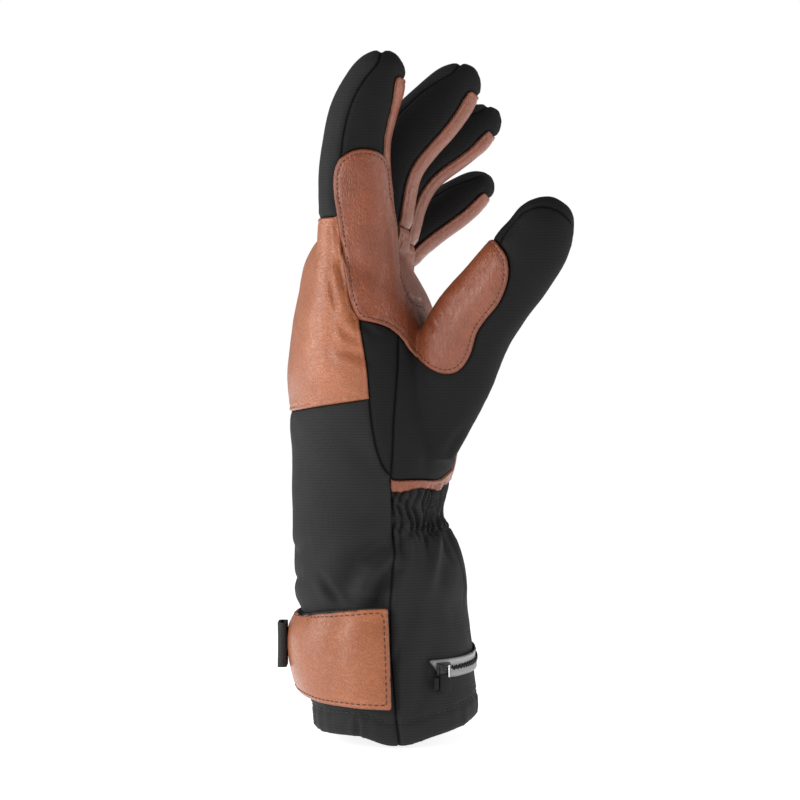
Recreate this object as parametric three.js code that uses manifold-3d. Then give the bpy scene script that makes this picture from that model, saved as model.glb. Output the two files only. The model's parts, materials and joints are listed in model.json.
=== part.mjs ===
// Heated winter glove for the left hand, standing as worn, in millimetres.
// +Z points to the fingertips, -X is the back of the hand, +X the palm and -Y the thumb side.
// The origin is the middle of the cuff's open end, level with the lowest point of its hem.

import * as THREE from 'three';
import { mergeVertices } from 'three/addons/utils/BufferGeometryUtils.js';
import Module from 'manifold-3d';

const wasm = await Module();
wasm.setup();

// Driving sizes of the glove's body
const CUFF_HEIGHT = 96;         // hem to the narrowest part of the wrist
const CUFF_THICKNESS = 70;      // back to palm at the hem
const CUFF_WIDTH = 100;         // across the hem
const HAND_HEIGHT = 104;        // wrist to the line where the fingers start
const HAND_THICKNESS = 72;      // back to palm through the ball of the thumb
const HAND_WIDTH = 112;         // across the knuckles
const WALL = 3;                 // shell, insulation and lining together
const HEM_RISE = 7;             // how much higher the hem is on the palm side
const KNUCKLE_DROP = 12;        // how much lower the little finger starts than the index finger
const KNUCKLE_CUP = 8;          // how far the little finger's side curls towards the palm
const CURL_START = 0.7;         // the curl begins at this share of the height up to the fingers

// Driving sizes of the fingers and the thumb
const FINGER_LENGTH = 101;      // index finger, from inside the hand to its tip
const FINGER_THICKNESS = 30;    // index finger, back to palm
const FINGER_WIDTH = 26;        // index finger, side to side
const THUMB_LENGTH = 122;
const THUMB_THICKNESS = 31;
const THUMB_WIDTH = 29;

// Driving sizes of seams and trim
const SEAM_GAP = 0.3;           // between two pieces that are sewn together
const STRAP_WIDTH = 42;
const STRAP_THICKNESS = 2;
const BACKING_THICKNESS = 1.2;
const BACKING_MARGIN = 0.6;     // how far the backing shows past the strap's edge
const STRAP_HEIGHT = 36;        // middle of the strap above the hem
const LOOP_HEIGHT = 18;         // webbing width of the pull loop
const LOOP_LENGTH = 22;
const LOOP_REACH = 4.6;         // how far the loop stands off the strap
const LOOP_RISE = 2;            // how far the loop sits above the strap's middle
const WEBBING_THICKNESS = 1.2;
const ZIP_TAPE_WIDTH = 8;
const ZIP_TAPE_THICKNESS = 0.8;
const ZIP_COIL_WIDTH = 2.4;
const ZIP_COIL_HEIGHT = 1.4;
const ZIP_HEIGHT = 34;          // middle of the zip above the hem, on the palm side
const ZIP_TILT = 0.058;         // rise of the zip for each millimetre towards the little finger
const ZIP_START = -45;          // the zip runs from here, on the thumb side
const ZIP_END = 22;             // to here, past the middle of the palm
const SLIDER_LENGTH = 7;
const SLIDER_WIDTH = 5;
const SLIDER_HEIGHT = 2.4;
const PULLER_LENGTH = 8;
const PULLER_WIDTH = 5;
const PULLER_THICKNESS = 1.4;

// Mesh resolution
const BODY_SIDES = 36;
const BODY_LEVELS = 18;
const LINING_SIDES = 16;
const LINING_LEVELS = 12;
const DIGIT_SIDES = 12;
const DIGIT_LEVELS = 8;
const DIGIT_LINING_SIDES = 8;
const DIGIT_LINING_LEVELS = 6;
const SEAM_STEPS = 5;

// Cuff sections. Heights are shares of CUFF_HEIGHT, back and palm places shares of
// CUFF_THICKNESS, half widths shares of CUFF_WIDTH.
const CUFF_COLUMNS = ['height', 'back', 'palm', 'halfWidth'];
const CUFF_ROWS = [
  [0.000, -0.493, 0.493, 0.500],
  [0.065, -0.505, 0.499, 0.503],
  [0.155, -0.517, 0.493, 0.500],
  [0.245, -0.573, 0.480, 0.492],
  [0.375, -0.612, 0.471, 0.486],
  [0.480, -0.608, 0.456, 0.482],
  [0.550, -0.570, 0.440, 0.474],
  [0.605, -0.606, 0.432, 0.474],
  [0.670, -0.618, 0.436, 0.475],
  [0.775, -0.616, 0.413, 0.468],
  [0.870, -0.631, 0.376, 0.454],
  [0.935, -0.637, 0.333, 0.445],
];

// Hand sections from the wrist up. Heights are shares of HAND_HEIGHT above the wrist, back and
// palm places shares of HAND_THICKNESS, half widths shares of HAND_WIDTH.
const HAND_COLUMNS = ['height', 'back', 'palm', 'halfWidth'];
const HAND_ROWS = [
  [0.000, -0.620, 0.282, 0.393],
  [0.070, -0.622, 0.306, 0.402],
  [0.138, -0.622, 0.335, 0.415],
  [0.233, -0.620, 0.365, 0.438],
  [0.337, -0.634, 0.383, 0.460],
  [0.460, -0.638, 0.365, 0.482],
  [0.587, -0.643, 0.311, 0.496],
  [0.710, -0.620, 0.251, 0.500],
  [0.813, -0.599, 0.204, 0.500],
  [0.915, -0.572, 0.168, 0.493],
  [1.020, -0.539, 0.114, 0.475],
  [1.090, -0.500, 0.047, 0.436],
  [1.140, -0.440, -0.030, 0.360],
];

// Folds of the fabric on the thumb side. Heights are shares of the height up to the finger line,
// places across shares of HAND_THICKNESS, depth and reach shares of WALL.
const FOLD_COLUMNS = ['fromX', 'fromZ', 'toX', 'toZ', 'depth', 'reach'];
const FOLD_ROWS = [
  [-0.44, 0.352, -0.31, 0.294, 0.60, 1.6],
  [-0.04, 0.430, -0.20, 0.368, 0.70, 2.0],
  [-0.20, 0.368, -0.16, 0.310, 0.80, 1.6],
  [0.24, 0.457, 0.20, 0.340, 0.60, 1.6],
  [0.05, 0.452, 0.02, 0.380, 0.60, 1.6],
  [0.28, 0.450, 0.31, 0.370, 0.50, 1.6],
];

// Gathers of the elastic wrist, on the palm side only
const GATHER_COUNT = 18;
const GATHER_DEPTH = 1.4;
const GATHER_LOW = 0.90;        // share of CUFF_HEIGHT where the gathers are deepest, lower end
const GATHER_HIGH = 1.06;
const GATHER_FADE = 9;

// Finger bodies. Places and thickness are shares of the hand's and the index finger's sizes,
// leans are degrees from upright towards the palm.
const FINGER_COLUMNS = [
  'name', 'x', 'y', 'z', 'splay', 'length', 'thickness', 'width',
  'leanBase', 'leanTip', 'bendFrom', 'bendTo', 'backSeam', 'palmSeam', 'crotch',
];
const FINGER_ROWS = [
  ['index', -0.208, -0.370, 0.950, -1.5, 1.00, 1.00, 1.00, -2, 25, 0.45, 1.00, 0.42, 0.84, 0.24],
  ['middle', -0.180, -0.125, 0.945, -0.5, 1.07, 0.84, 1.00, 10, 38, 0.35, 0.60, 0.76, 0.50, 0.26],
  ['ring', -0.170, 0.110, 0.920, 1.0, 1.00, 0.83, 0.93, 15, 55, 0.34, 0.74, 0.76, 0.58, 0.28],
  ['little', -0.150, 0.338, 0.900, 2.5, 0.84, 0.78, 0.88, 22, 55, 0.22, 0.56, 0.76, 0.54, 0.34],
];

// How a digit's half thickness and half width change from inside the hand to the tip. Columns:
// share of its length, share of its thickness, share of its width.
const FINGER_PROFILE = [
  [0.00, 0.54, 0.46],
  [0.20, 0.56, 0.50],
  [0.37, 0.55, 0.50],
  [0.58, 0.50, 0.50],
  [0.76, 0.485, 0.48],
  [0.86, 0.44, 0.44],
  [0.92, 0.37, 0.38],
  [0.97, 0.24, 0.26],
  [1.00, 0.06, 0.06],
];

// Root of the thumb inside the hand: shares of HAND_THICKNESS, HAND_WIDTH and the height up to
// the fingers. Its centre line is in shares of THUMB_LENGTH from there.
const THUMB_ROOT = [0.194, -0.268, 0.610];
const THUMB_LINE = [
  [0.000, 0.000, 0.000],
  [0.066, -0.049, 0.230],
  [0.139, -0.115, 0.418],
  [0.213, -0.172, 0.533],
  [0.279, -0.205, 0.623],
  [0.347, -0.230, 0.716],
  [0.381, -0.242, 0.801],
  [0.396, -0.246, 0.869],
];
const THUMB_PROFILE = [
  [0.00, 0.36, 0.36],
  [0.24, 0.56, 0.56],
  [0.45, 0.58, 0.57],
  [0.60, 0.53, 0.53],
  [0.72, 0.49, 0.50],
  [0.84, 0.45, 0.47],
  [0.93, 0.36, 0.38],
  [0.975, 0.22, 0.23],
  [1.00, 0.06, 0.06],
];

const FINGER_LINE = CUFF_HEIGHT + HAND_HEIGHT;

const COLORS = {
  softshell: 0x2c2c2e,
  sideFabric: 0x202022,
  tanLeather: 0xb8835c,
  brownLeather: 0x8a5a42,
  felt: 0x8a8681,
  webbing: 0x4f4e50,
  zipTape: 0x77777a,
  zipMetal: 0x2a2a2c,
};

const MATERIALS = {
  softshell: { color: COLORS.softshell, roughness: 0.85, metalness: 0 },
  side_fabric: { color: COLORS.sideFabric, roughness: 0.9, metalness: 0 },
  tan_leather: { color: COLORS.tanLeather, roughness: 0.5, metalness: 0 },
  brown_leather: { color: COLORS.brownLeather, roughness: 0.5, metalness: 0 },
  felt: { color: COLORS.felt, roughness: 1, metalness: 0 },
  webbing: { color: COLORS.webbing, roughness: 0.8, metalness: 0 },
  zip_tape: { color: COLORS.zipTape, roughness: 0.7, metalness: 0 },
  zip_metal: { color: COLORS.zipMetal, roughness: 0.4, metalness: 0.6 },
};

const glove = new THREE.Group();

function addPiece(name, materialName, solid) {
  const mesh = new THREE.Mesh(toGeometry(solid), new THREE.MeshStandardMaterial(MATERIALS[materialName]));
  mesh.name = name;
  glove.add(mesh);
}

// Solids and geometry

function toSolid(geometry) {
  geometry.deleteAttribute('normal');
  geometry.deleteAttribute('uv');
  const merged = mergeVertices(geometry, 1e-4);
  return new wasm.Manifold(new wasm.Mesh({
    numProp: 3,
    vertProperties: new Float32Array(merged.attributes.position.array),
    triVerts: new Uint32Array(merged.index.array),
  }));
}

function toGeometry(solid) {
  const mesh = solid.getMesh();
  const geometry = new THREE.BufferGeometry();
  geometry.setAttribute('position', new THREE.BufferAttribute(mesh.vertProperties, 3));
  geometry.setIndex(new THREE.BufferAttribute(mesh.triVerts, 1));
  return geometry;
}

function joined(solids) {
  return solids.reduce((sum, solid) => sum.add(solid));
}

// Tables and easing

function named(columns, row) {
  return Object.fromEntries(columns.map((column, i) => [column, row[i]]));
}

function blend(value, from, to) {
  return THREE.MathUtils.smoothstep(value, from, to);
}

// A smooth curve through a table's rows, read at one value of the first column
function readTable(rows, value) {
  let i = 0;
  while (i < rows.length - 2 && value > rows[i + 1][0]) {
    i += 1;
  }
  const [before, from, to, after] = [i - 1, i, i + 1, i + 2].map(
    (k) => rows[THREE.MathUtils.clamp(k, 0, rows.length - 1)]);
  const span = to[0] - from[0];
  const t = THREE.MathUtils.clamp((value - from[0]) / span, 0, 1);
  return from.map((start, column) => {
    const slopeFrom = (to[column] - before[column]) / (to[0] - before[0]) * span;
    const slopeTo = (after[column] - start) / (after[0] - from[0]) * span;
    return start * (2 * t ** 3 - 3 * t ** 2 + 1) + slopeFrom * (t ** 3 - 2 * t ** 2 + t)
      + to[column] * (3 * t ** 2 - 2 * t ** 3) + slopeTo * (t ** 3 - t ** 2);
  });
}

// Tubes: a unit cylinder whose every vertex is placed by a function of how far it is along,
// its angle around and whether it is the middle of an end cap

function shapedTube(sides, levels, place) {
  const geometry = new THREE.CylinderGeometry(1, 1, 1, sides, levels);
  const position = geometry.attributes.position;
  for (let i = 0; i < position.count; i += 1) {
    const reach = Math.hypot(position.getX(i), position.getZ(i)) > 0.5 ? 1 : 0;
    const angle = Math.atan2(-position.getZ(i), position.getX(i));
    const point = place(position.getY(i) + 0.5, angle, reach);
    position.setXYZ(i, point.x, point.y, point.z);
  }
  return toSolid(geometry);
}

// A rounded box section: superellipse of the given squareness
function roundedStep(angle, squareness) {
  const power = 2 / squareness;
  return [
    Math.sign(Math.cos(angle)) * Math.abs(Math.cos(angle)) ** power,
    Math.sign(Math.sin(angle)) * Math.abs(Math.sin(angle)) ** power,
  ];
}

// Body of the glove: cuff and hand in one tube of horizontal sections

const BODY_SQUARENESS = 2.35;
const INDEX_PLACE = named(FINGER_COLUMNS, FINGER_ROWS[0]).y;
const BODY_SECTIONS = [
  ...CUFF_ROWS.map((row) => named(CUFF_COLUMNS, row)).map((row) => [
    row.height * CUFF_HEIGHT,
    row.back * CUFF_THICKNESS,
    row.palm * CUFF_THICKNESS,
    row.halfWidth * CUFF_WIDTH,
  ]),
  ...HAND_ROWS.map((row) => named(HAND_COLUMNS, row)).map((row) => [
    CUFF_HEIGHT + row.height * HAND_HEIGHT,
    row.back * HAND_THICKNESS,
    row.palm * HAND_THICKNESS,
    row.halfWidth * HAND_WIDTH,
  ]),
];
const BODY_TOP = BODY_SECTIONS.at(-1)[0];
const FOLDS = FOLD_ROWS.map((row) => named(FOLD_COLUMNS, row)).map((fold) => ({
  line: new THREE.Line3(
    new THREE.Vector3(fold.fromX * HAND_THICKNESS, 0, fold.fromZ * FINGER_LINE),
    new THREE.Vector3(fold.toX * HAND_THICKNESS, 0, fold.toZ * FINGER_LINE)),
  depth: fold.depth * WALL,
  reach: fold.reach * WALL,
}));

function foldDepth(point) {
  const flat = new THREE.Vector3(point.x, 0, point.z);
  const nearest = new THREE.Vector3();
  return FOLDS.reduce((sum, fold) => {
    fold.line.closestPointToPoint(flat, true, nearest);
    return sum + fold.depth * Math.exp(-((flat.distanceTo(nearest) / fold.reach) ** 2));
  }, 0);
}

// Depth of the gathers' valleys, the same all around the palm side of the wrist
function gatherDepth(angle, height) {
  const palmSide = blend(Math.cos(angle), -0.1, 0.25);
  const low = GATHER_LOW * CUFF_HEIGHT;
  const high = GATHER_HIGH * CUFF_HEIGHT;
  const near = blend(height, low - GATHER_FADE, low) * (1 - blend(height, high, high + GATHER_FADE / 2));
  return GATHER_DEPTH * palmSide * near;
}

function bodyPoint(height, angle, reach, offset, folded) {
  const [, back, palm, halfWidth] = readTable(BODY_SECTIONS, height);
  const [across, side] = roundedStep(angle, BODY_SQUARENESS);
  const pleat = folded ? 0.5 - 0.5 * Math.cos(GATHER_COUNT * angle) : 1;
  const sunk = pleat * gatherDepth(angle, height);
  const point = new THREE.Vector3(
    (back + palm) / 2 + reach * across * ((palm - back) / 2 + offset - sunk),
    reach * side * (halfWidth + offset - sunk),
    height);
  const thumbSide = folded && point.y < 0 ? Math.abs(side) ** 2 : 0;
  point.y += thumbSide * foldDepth(point);
  const pastIndex = point.y / HAND_WIDTH - INDEX_PLACE;
  const curl = blend(height, CURL_START * FINGER_LINE, FINGER_LINE) * pastIndex;
  point.x += KNUCKLE_CUP * curl;
  point.z -= KNUCKLE_DROP * curl;
  const palmward = Math.max(0, point.x / (CUFF_THICKNESS / 2));
  point.z += HEM_RISE * palmward ** 2 * (1 - blend(height, 0, CUFF_HEIGHT / 2));
  return point;
}

// Half of the levels lie below the wrist, with one of them at its narrowest part
function bodyTube(from, to, offset, sides, levels, folded = false) {
  return shapedTube(sides, levels, (share, angle, reach) => {
    const height = share < 0.5
      ? THREE.MathUtils.lerp(from, CUFF_HEIGHT, 2 * share)
      : THREE.MathUtils.lerp(CUFF_HEIGHT, to, 2 * share - 1);
    return bodyPoint(height, angle, reach, offset, folded);
  });
}

// Fingers: a tube along a centre line that leans from upright to its tip's angle

const FINGERS = FINGER_ROWS.map((row) => named(FINGER_COLUMNS, row)).map((finger) => {
  const length = finger.length * FINGER_LENGTH;
  const steps = 40;
  const at = new THREE.Vector3(
    finger.x * HAND_THICKNESS, finger.y * HAND_WIDTH, finger.z * FINGER_LINE);
  const points = [at.clone()];
  for (let k = 0; k < steps; k += 1) {
    const lean = THREE.MathUtils.degToRad(THREE.MathUtils.lerp(
      finger.leanBase, finger.leanTip, blend((k + 0.5) / steps, finger.bendFrom, finger.bendTo)));
    const splay = THREE.MathUtils.degToRad(finger.splay);
    at.add(new THREE.Vector3(Math.sin(lean), Math.sin(splay), Math.cos(lean)).multiplyScalar(length / steps));
    points.push(at.clone());
  }
  return {
    name: finger.name,
    length,
    y: finger.y * HAND_WIDTH,
    line: new THREE.CatmullRomCurve3(points),
    thickness: finger.thickness * FINGER_THICKNESS,
    width: finger.width * FINGER_WIDTH,
    backSeam: finger.backSeam,
    palmSeam: finger.palmSeam,
    crotch: finger.crotch,
    profile: FINGER_PROFILE,
  };
});

const THUMB = {
  name: 'thumb',
  length: THUMB_LENGTH,
  line: new THREE.CatmullRomCurve3(THUMB_LINE.map(([x, y, z]) => new THREE.Vector3(
    THUMB_ROOT[0] * HAND_THICKNESS + x * THUMB_LENGTH,
    THUMB_ROOT[1] * HAND_WIDTH + y * THUMB_LENGTH,
    THUMB_ROOT[2] * FINGER_LINE + z * THUMB_LENGTH))),
  thickness: THUMB_THICKNESS,
  width: THUMB_WIDTH,
  profile: THUMB_PROFILE,
};

const DIGIT_SQUARENESS = 2.25;

// Place and directions at one share of a digit's length; palmward lies in the bending plane
function digitFrame(digit, share) {
  const centre = digit.line.getPointAt(share);
  const along = digit.line.getTangentAt(share);
  const palmward = new THREE.Vector3(along.z, 0, -along.x).normalize();
  const across = new THREE.Vector3().crossVectors(along, palmward);
  const [, thickness, width] = readTable(digit.profile, share);
  return {
    centre, along, palmward, across,
    halfThickness: thickness * digit.thickness,
    halfWidth: width * digit.width,
  };
}

function digitTube(digit, inset, sides, levels) {
  const end = 1 - inset / digit.length;
  return shapedTube(sides, levels, (share, angle, reach) => {
    const level = share < 0.5 ? share : 1 - 2 * (1 - share) ** 2;
    const frame = digitFrame(digit, level);
    const [outward, side] = roundedStep(angle, DIGIT_SQUARENESS);
    const centre = digit.line.getPointAt(level * end);
    const thickness = Math.max(frame.halfThickness - inset, 0.4);
    const width = Math.max(frame.halfWidth - inset, 0.4);
    return centre
      .addScaledVector(frame.palmward, reach * outward * thickness)
      .addScaledVector(frame.across, reach * side * width);
  });
}

// The hollow shell of the whole glove

const DIGITS = [...FINGERS, THUMB];
const outside = joined([
  bodyTube(0, BODY_TOP, 0, BODY_SIDES, BODY_LEVELS, true),
  ...DIGITS.map((digit) => digitTube(digit, 0, DIGIT_SIDES, DIGIT_LEVELS)),
]);
const inside = joined([
  bodyTube(-WALL, BODY_TOP - WALL, -WALL, LINING_SIDES, LINING_LEVELS),
  ...DIGITS.map((digit) => digitTube(digit, WALL, DIGIT_LINING_SIDES, DIGIT_LINING_LEVELS)),
]);
let shell = outside.subtract(inside);

// Cutting the shell into its sewn panels. An outline lies in the X, Z plane and is extruded
// along Y; each cut leaves the sewing gap to what is left.

const REACH = 200;              // longer than the glove is wide anywhere

function grownOutline(points, distance) {
  const turn = THREE.ShapeUtils.area(points) > 0 ? 1 : -1;
  return points.map((point, i) => {
    const before = points[(i + points.length - 1) % points.length];
    const after = points[(i + 1) % points.length];
    const first = point.clone().sub(before).normalize();
    const second = after.clone().sub(point).normalize();
    const normal = new THREE.Vector2(first.y + second.y, -first.x - second.x).normalize();
    const stretch = Math.max(0.5, normal.x * first.y - normal.y * first.x);
    return point.clone().addScaledVector(normal, turn * distance / stretch);
  });
}

function prism(points, yFrom, yTo) {
  const geometry = new THREE.ExtrudeGeometry(new THREE.Shape(points), { depth: yTo - yFrom, bevelEnabled: false });
  geometry.rotateX(Math.PI / 2);
  geometry.translate(0, yTo, 0);
  return toSolid(geometry);
}

// A region is a list of prisms; each has an outline and its reach along Y
function regionSolid(region, growth) {
  return joined(region.map(({ outline, from, to }) => (
    prism(grownOutline(outline, growth), from - growth, to + growth))));
}

function cutPiece(name, materialName, region, limit = null) {
  let part = regionSolid(region, 0);
  let grown = regionSolid(region, SEAM_GAP);
  if (limit) {
    part = part.intersect(limit(0));
    grown = grown.intersect(limit(SEAM_GAP));
  }
  addPiece(name, materialName, shell.intersect(part));
  shell = shell.subtract(grown);
}

// Seam lines on the hand: places across are shares of HAND_THICKNESS, heights shares of FINGER_LINE
function seamOutline(points) {
  return points.map(([x, z]) => new THREE.Vector2(x * HAND_THICKNESS, z * FINGER_LINE));
}

// Everything on the thumb side of a sloping plane: nearer the thumb at the fingertips
const THUMB_SPLIT_Y = -0.214 * HAND_WIDTH;
const THUMB_SPLIT_Z = 0.575 * FINGER_LINE;
const THUMB_SPLIT_SLOPE = 0.363;

function thumbSide(growth) {
  const geometry = new THREE.BoxGeometry(2 * REACH, 2 * REACH, 4 * REACH);
  geometry.translate(0, growth - REACH, 0);
  geometry.rotateX(Math.atan(THUMB_SPLIT_SLOPE));
  geometry.translate(0, THUMB_SPLIT_Y, THUMB_SPLIT_Z);
  return toSolid(geometry);
}

// Reinforcement over the saddle between index finger and thumb
const SADDLE_INDEX_SEAM = [
  [-0.074, 1.234], [-0.218, 1.244], [-0.344, 1.217], [-0.367, 1.170], [-0.344, 1.116],
  [-0.321, 1.064], [-0.293, 0.985], [-0.264, 0.917], [-0.212, 0.882], [-0.132, 0.882],
  [-0.057, 0.873], [0.024, 0.857], [0.104, 0.815], [0.191, 0.784], [0.185, 0.900],
  [0.116, 0.917], [0.081, 0.958], [0.058, 1.010], [0.018, 1.054], [0.001, 1.095],
  [-0.028, 1.149], [-0.034, 1.201],
];
const SADDLE_THUMB_SEAM = [
  [0.150, 0.920], [0.150, 0.798], [0.191, 0.784], [0.280, 0.770], [0.369, 0.778],
  [0.433, 0.815], [0.456, 0.857], [0.513, 0.887], [0.588, 0.916], [0.640, 0.962],
  [0.646, 1.006], [0.605, 1.037], [0.565, 1.065], [0.430, 1.050],
];
const SADDLE_INDEX_DEPTH = -0.37 * HAND_WIDTH;
const SADDLE_THUMB_DEPTH = -0.385 * HAND_WIDTH;
cutPiece('saddle_patch', 'brown_leather', [
  { outline: seamOutline(SADDLE_INDEX_SEAM), from: -REACH, to: SADDLE_INDEX_DEPTH },
  { outline: seamOutline(SADDLE_THUMB_SEAM), from: -REACH, to: SADDLE_THUMB_DEPTH },
]);

const SEAM_CLOSING = 0.4;       // how far the side seams close up towards a fingertip

// A strip along a digit, between two shares of its half thickness (palm side positive)
function digitBand(digit, from, to, near, far) {
  const shares = Array.from({ length: SEAM_STEPS + 1 }, (_, k) => from + (to - from) * k / SEAM_STEPS);
  const edge = (share, across) => {
    const { centre, palmward, halfThickness } = digitFrame(digit, share);
    const narrowed = Math.abs(across) < 1 ? across * (1 - SEAM_CLOSING * blend(share, 0.75, 1)) : across;
    const point = centre.addScaledVector(palmward, narrowed * halfThickness);
    return new THREE.Vector2(point.x, point.z);
  };
  return [
    ...shares.map((share) => edge(share, near)),
    ...shares.reverse().map((share) => edge(share, far)),
  ];
}

// Fingers: side pieces and the forks between fingers first, then the palm strips and the backs
const TIP_SHARE = 0.94;         // side pieces end just short of the fingertip
const FORK_DEPTH = 0.10;        // how far a fork reaches into the hand, as a share of the finger
const BACK_START = 0.04;        // the backs start this much above the crotch
const OUTSIDE = 1.6;            // past the finger's surface

function sideBand(finger, from) {
  return digitBand(finger, from, TIP_SHARE, -finger.backSeam, finger.palmSeam);
}

const INDEX_SIDE_START = 0.45;
const [INDEX] = FINGERS;
cutPiece('index_side', 'side_fabric', [
  { outline: sideBand(INDEX, INDEX_SIDE_START), from: -REACH, to: INDEX.y },
]);

function gapBetween(first, second) {
  return (first.y + first.width / 2 + second.y - second.width / 2) / 2;
}

for (let i = 0; i < FINGERS.length - 1; i += 1) {
  const [first, second] = [FINGERS[i], FINGERS[i + 1]];
  const middle = gapBetween(first, second);
  cutPiece(`fork_${first.name}_${second.name}`, 'side_fabric', [
    { outline: sideBand(first, first.crotch - FORK_DEPTH), from: first.y, to: middle + SEAM_GAP },
    { outline: sideBand(second, second.crotch - FORK_DEPTH), from: middle - SEAM_GAP, to: second.y },
  ]);
}

FINGERS.forEach((finger, i) => {
  const from = i === 0 ? -REACH : gapBetween(FINGERS[i - 1], finger);
  const to = i === FINGERS.length - 1 ? REACH : gapBetween(finger, FINGERS[i + 1]);
  cutPiece(`${finger.name}_palm`, 'brown_leather', [
    { outline: digitBand(finger, finger.crotch, TIP_SHARE, finger.palmSeam, OUTSIDE), from, to },
  ]);
  const hood = digitBand(finger, finger.crotch + BACK_START, 1, -OUTSIDE, OUTSIDE);
  cutPiece(`${finger.name}_back`, 'softshell', [{ outline: hood, from, to }]);
});

// Thumb: near half with the ball of the thumb in one panel, then the far half
const THUMB_PANEL_SEAM = [
  [0.024, 0.857], [0.016, 0.782], [-0.011, 0.676], [-0.022, 0.570], [-0.025, 0.549],
  [0.129, 0.553], [0.262, 0.549], [0.350, 0.574], [0.600, 0.580], [1.400, 1.000],
  [1.000, 1.300], [0.450, 1.040], [0.205, 0.880], [0.191, 0.784], [0.104, 0.815],
];
const THUMB_BASE_SEAM = [
  [0.225, 0.910], [0.560, 0.720], [0.800, 0.720], [1.400, 1.000], [1.000, 1.300],
  [0.450, 1.200], [0.300, 1.010],
];
const THUMB_BACK_DEPTH = -0.25 * HAND_WIDTH;
cutPiece('thumb_front', 'side_fabric', [
  { outline: seamOutline(THUMB_PANEL_SEAM), from: -REACH, to: REACH },
], thumbSide);
cutPiece('thumb_back', 'side_fabric', [
  { outline: seamOutline(THUMB_BASE_SEAM), from: -REACH, to: THUMB_BACK_DEPTH },
]);

// Wedge of fabric on the thumb side, below the index finger
const WEDGE_SEAM = [
  [-0.213, 0.882], [-0.167, 0.782], [-0.155, 0.719], [-0.144, 0.676], [-0.120, 0.623],
  [-0.092, 0.591], [-0.045, 0.560], [-0.022, 0.560], [-0.011, 0.676], [0.016, 0.782],
  [0.030, 0.880],
];
const WEDGE_DEPTH = -0.2 * HAND_WIDTH;
cutPiece('side_wedge', 'side_fabric', [
  { outline: seamOutline(WEDGE_SEAM), from: -REACH, to: WEDGE_DEPTH },
]);

// Leather over the knuckles
const KNUCKLE_SEAM = [
  [-1.000, 0.690], [-0.616, 0.697], [-0.383, 0.710], [-0.156, 0.722], [-0.120, 0.724],
  [-0.120, 1.300], [-1.000, 1.300],
];
cutPiece('knuckle_panel', 'tan_leather', [
  { outline: seamOutline(KNUCKLE_SEAM), from: -REACH, to: REACH },
]);

// Palm leather, down to its edge over the gathered wrist
const PALM_SEAM = [
  [-0.120, 1.300], [-0.120, 0.724], [-0.022, 0.570], [-0.028, 0.525], [0.059, 0.525],
  [0.117, 0.536], [0.210, 0.532], [0.257, 0.525], [0.326, 0.547], [1.000, 0.547],
  [1.000, 1.300],
];
cutPiece('palm_leather', 'brown_leather', [
  { outline: seamOutline(PALM_SEAM), from: -REACH, to: REACH },
]);

// Back of the hand and cuff in one panel, then the gathered front of the cuff
const BACK_SEAM = [
  [-1.000, 0.800], [-0.100, 0.800], [-0.022, 0.570], [-0.022, 0.464], [-0.011, 0.410],
  [-0.017, 0.358], [-0.031, 0.304], [-0.017, 0.078], [0.018, -0.030], [-1.000, -0.030],
];
cutPiece('back_panel', 'softshell', [
  { outline: seamOutline(BACK_SEAM), from: -REACH, to: REACH },
]);
addPiece('cuff_palm', 'softshell', shell.intersect(
  prism(seamOutline([[-0.200, -0.100], [1.000, -0.100], [1.000, 0.600], [-0.200, 0.600]]), -REACH, REACH)));

// Bands that lie on the glove: a skin between two offsets of its surface
function skin(low, high) {
  const outer = bodyTube(0, BODY_TOP, high, BODY_SIDES, BODY_LEVELS, true);
  return outer.subtract(bodyTube(0, BODY_TOP, low, BODY_SIDES, BODY_LEVELS, true));
}

// Wrist strap: leather on a felt backing, both around the back from seam to seam. Places along
// the strap are shares of CUFF_THICKNESS, heights shares of STRAP_WIDTH from its middle.
const STRAP_OUTLINE = [
  [-0.020, -0.500], [-0.018, 0.500], [-0.300, 0.500], [-0.520, 0.480], [-0.620, 0.400],
  [-0.900, 0.400], [-0.900, -0.280], [-0.620, -0.300], [-0.540, -0.400], [-0.400, -0.460],
  [-0.200, -0.500],
];

function strapOutline(margin) {
  return grownOutline(STRAP_OUTLINE.map(([x, z]) => (
    new THREE.Vector2(x * CUFF_THICKNESS, STRAP_HEIGHT + z * STRAP_WIDTH))), margin);
}

const BACKING_LOW = SEAM_GAP;
const BACKING_HIGH = BACKING_LOW + BACKING_THICKNESS;
const STRAP_LOW = BACKING_HIGH + SEAM_GAP;
const STRAP_HIGH = STRAP_LOW + STRAP_THICKNESS;
addPiece('strap_backing', 'felt',
  skin(BACKING_LOW, BACKING_HIGH).intersect(prism(strapOutline(BACKING_MARGIN), -REACH, REACH)));
addPiece('wrist_strap', 'tan_leather',
  skin(STRAP_LOW, STRAP_HIGH).intersect(prism(strapOutline(0), -REACH, REACH)));

// Pull loop: a flattened ring of webbing that stands on the strap over the back of the wrist
function stadium(shapeClass, length, depth) {
  const radius = depth / 2;
  const straight = length / 2 - radius;
  const shape = new shapeClass();
  shape.absarc(0, straight, radius, 0, Math.PI, false);
  shape.absarc(0, -straight, radius, Math.PI, 2 * Math.PI, false);
  shape.closePath();
  return shape;
}

const strapFace = bodyPoint(STRAP_HEIGHT, Math.PI, 1, STRAP_HIGH, true).x;
const loopShape = stadium(THREE.Shape, LOOP_LENGTH, LOOP_REACH);
loopShape.holes.push(stadium(
  THREE.Path, LOOP_LENGTH - 2 * WEBBING_THICKNESS, LOOP_REACH - 2 * WEBBING_THICKNESS));
const loop = new THREE.ExtrudeGeometry(loopShape, { depth: LOOP_HEIGHT, bevelEnabled: false, curveSegments: 5 });
loop.translate(strapFace - SEAM_GAP - LOOP_REACH / 2, 0, STRAP_HEIGHT + LOOP_RISE - LOOP_HEIGHT / 2);
addPiece('pull_loop', 'webbing', toSolid(loop));

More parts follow.
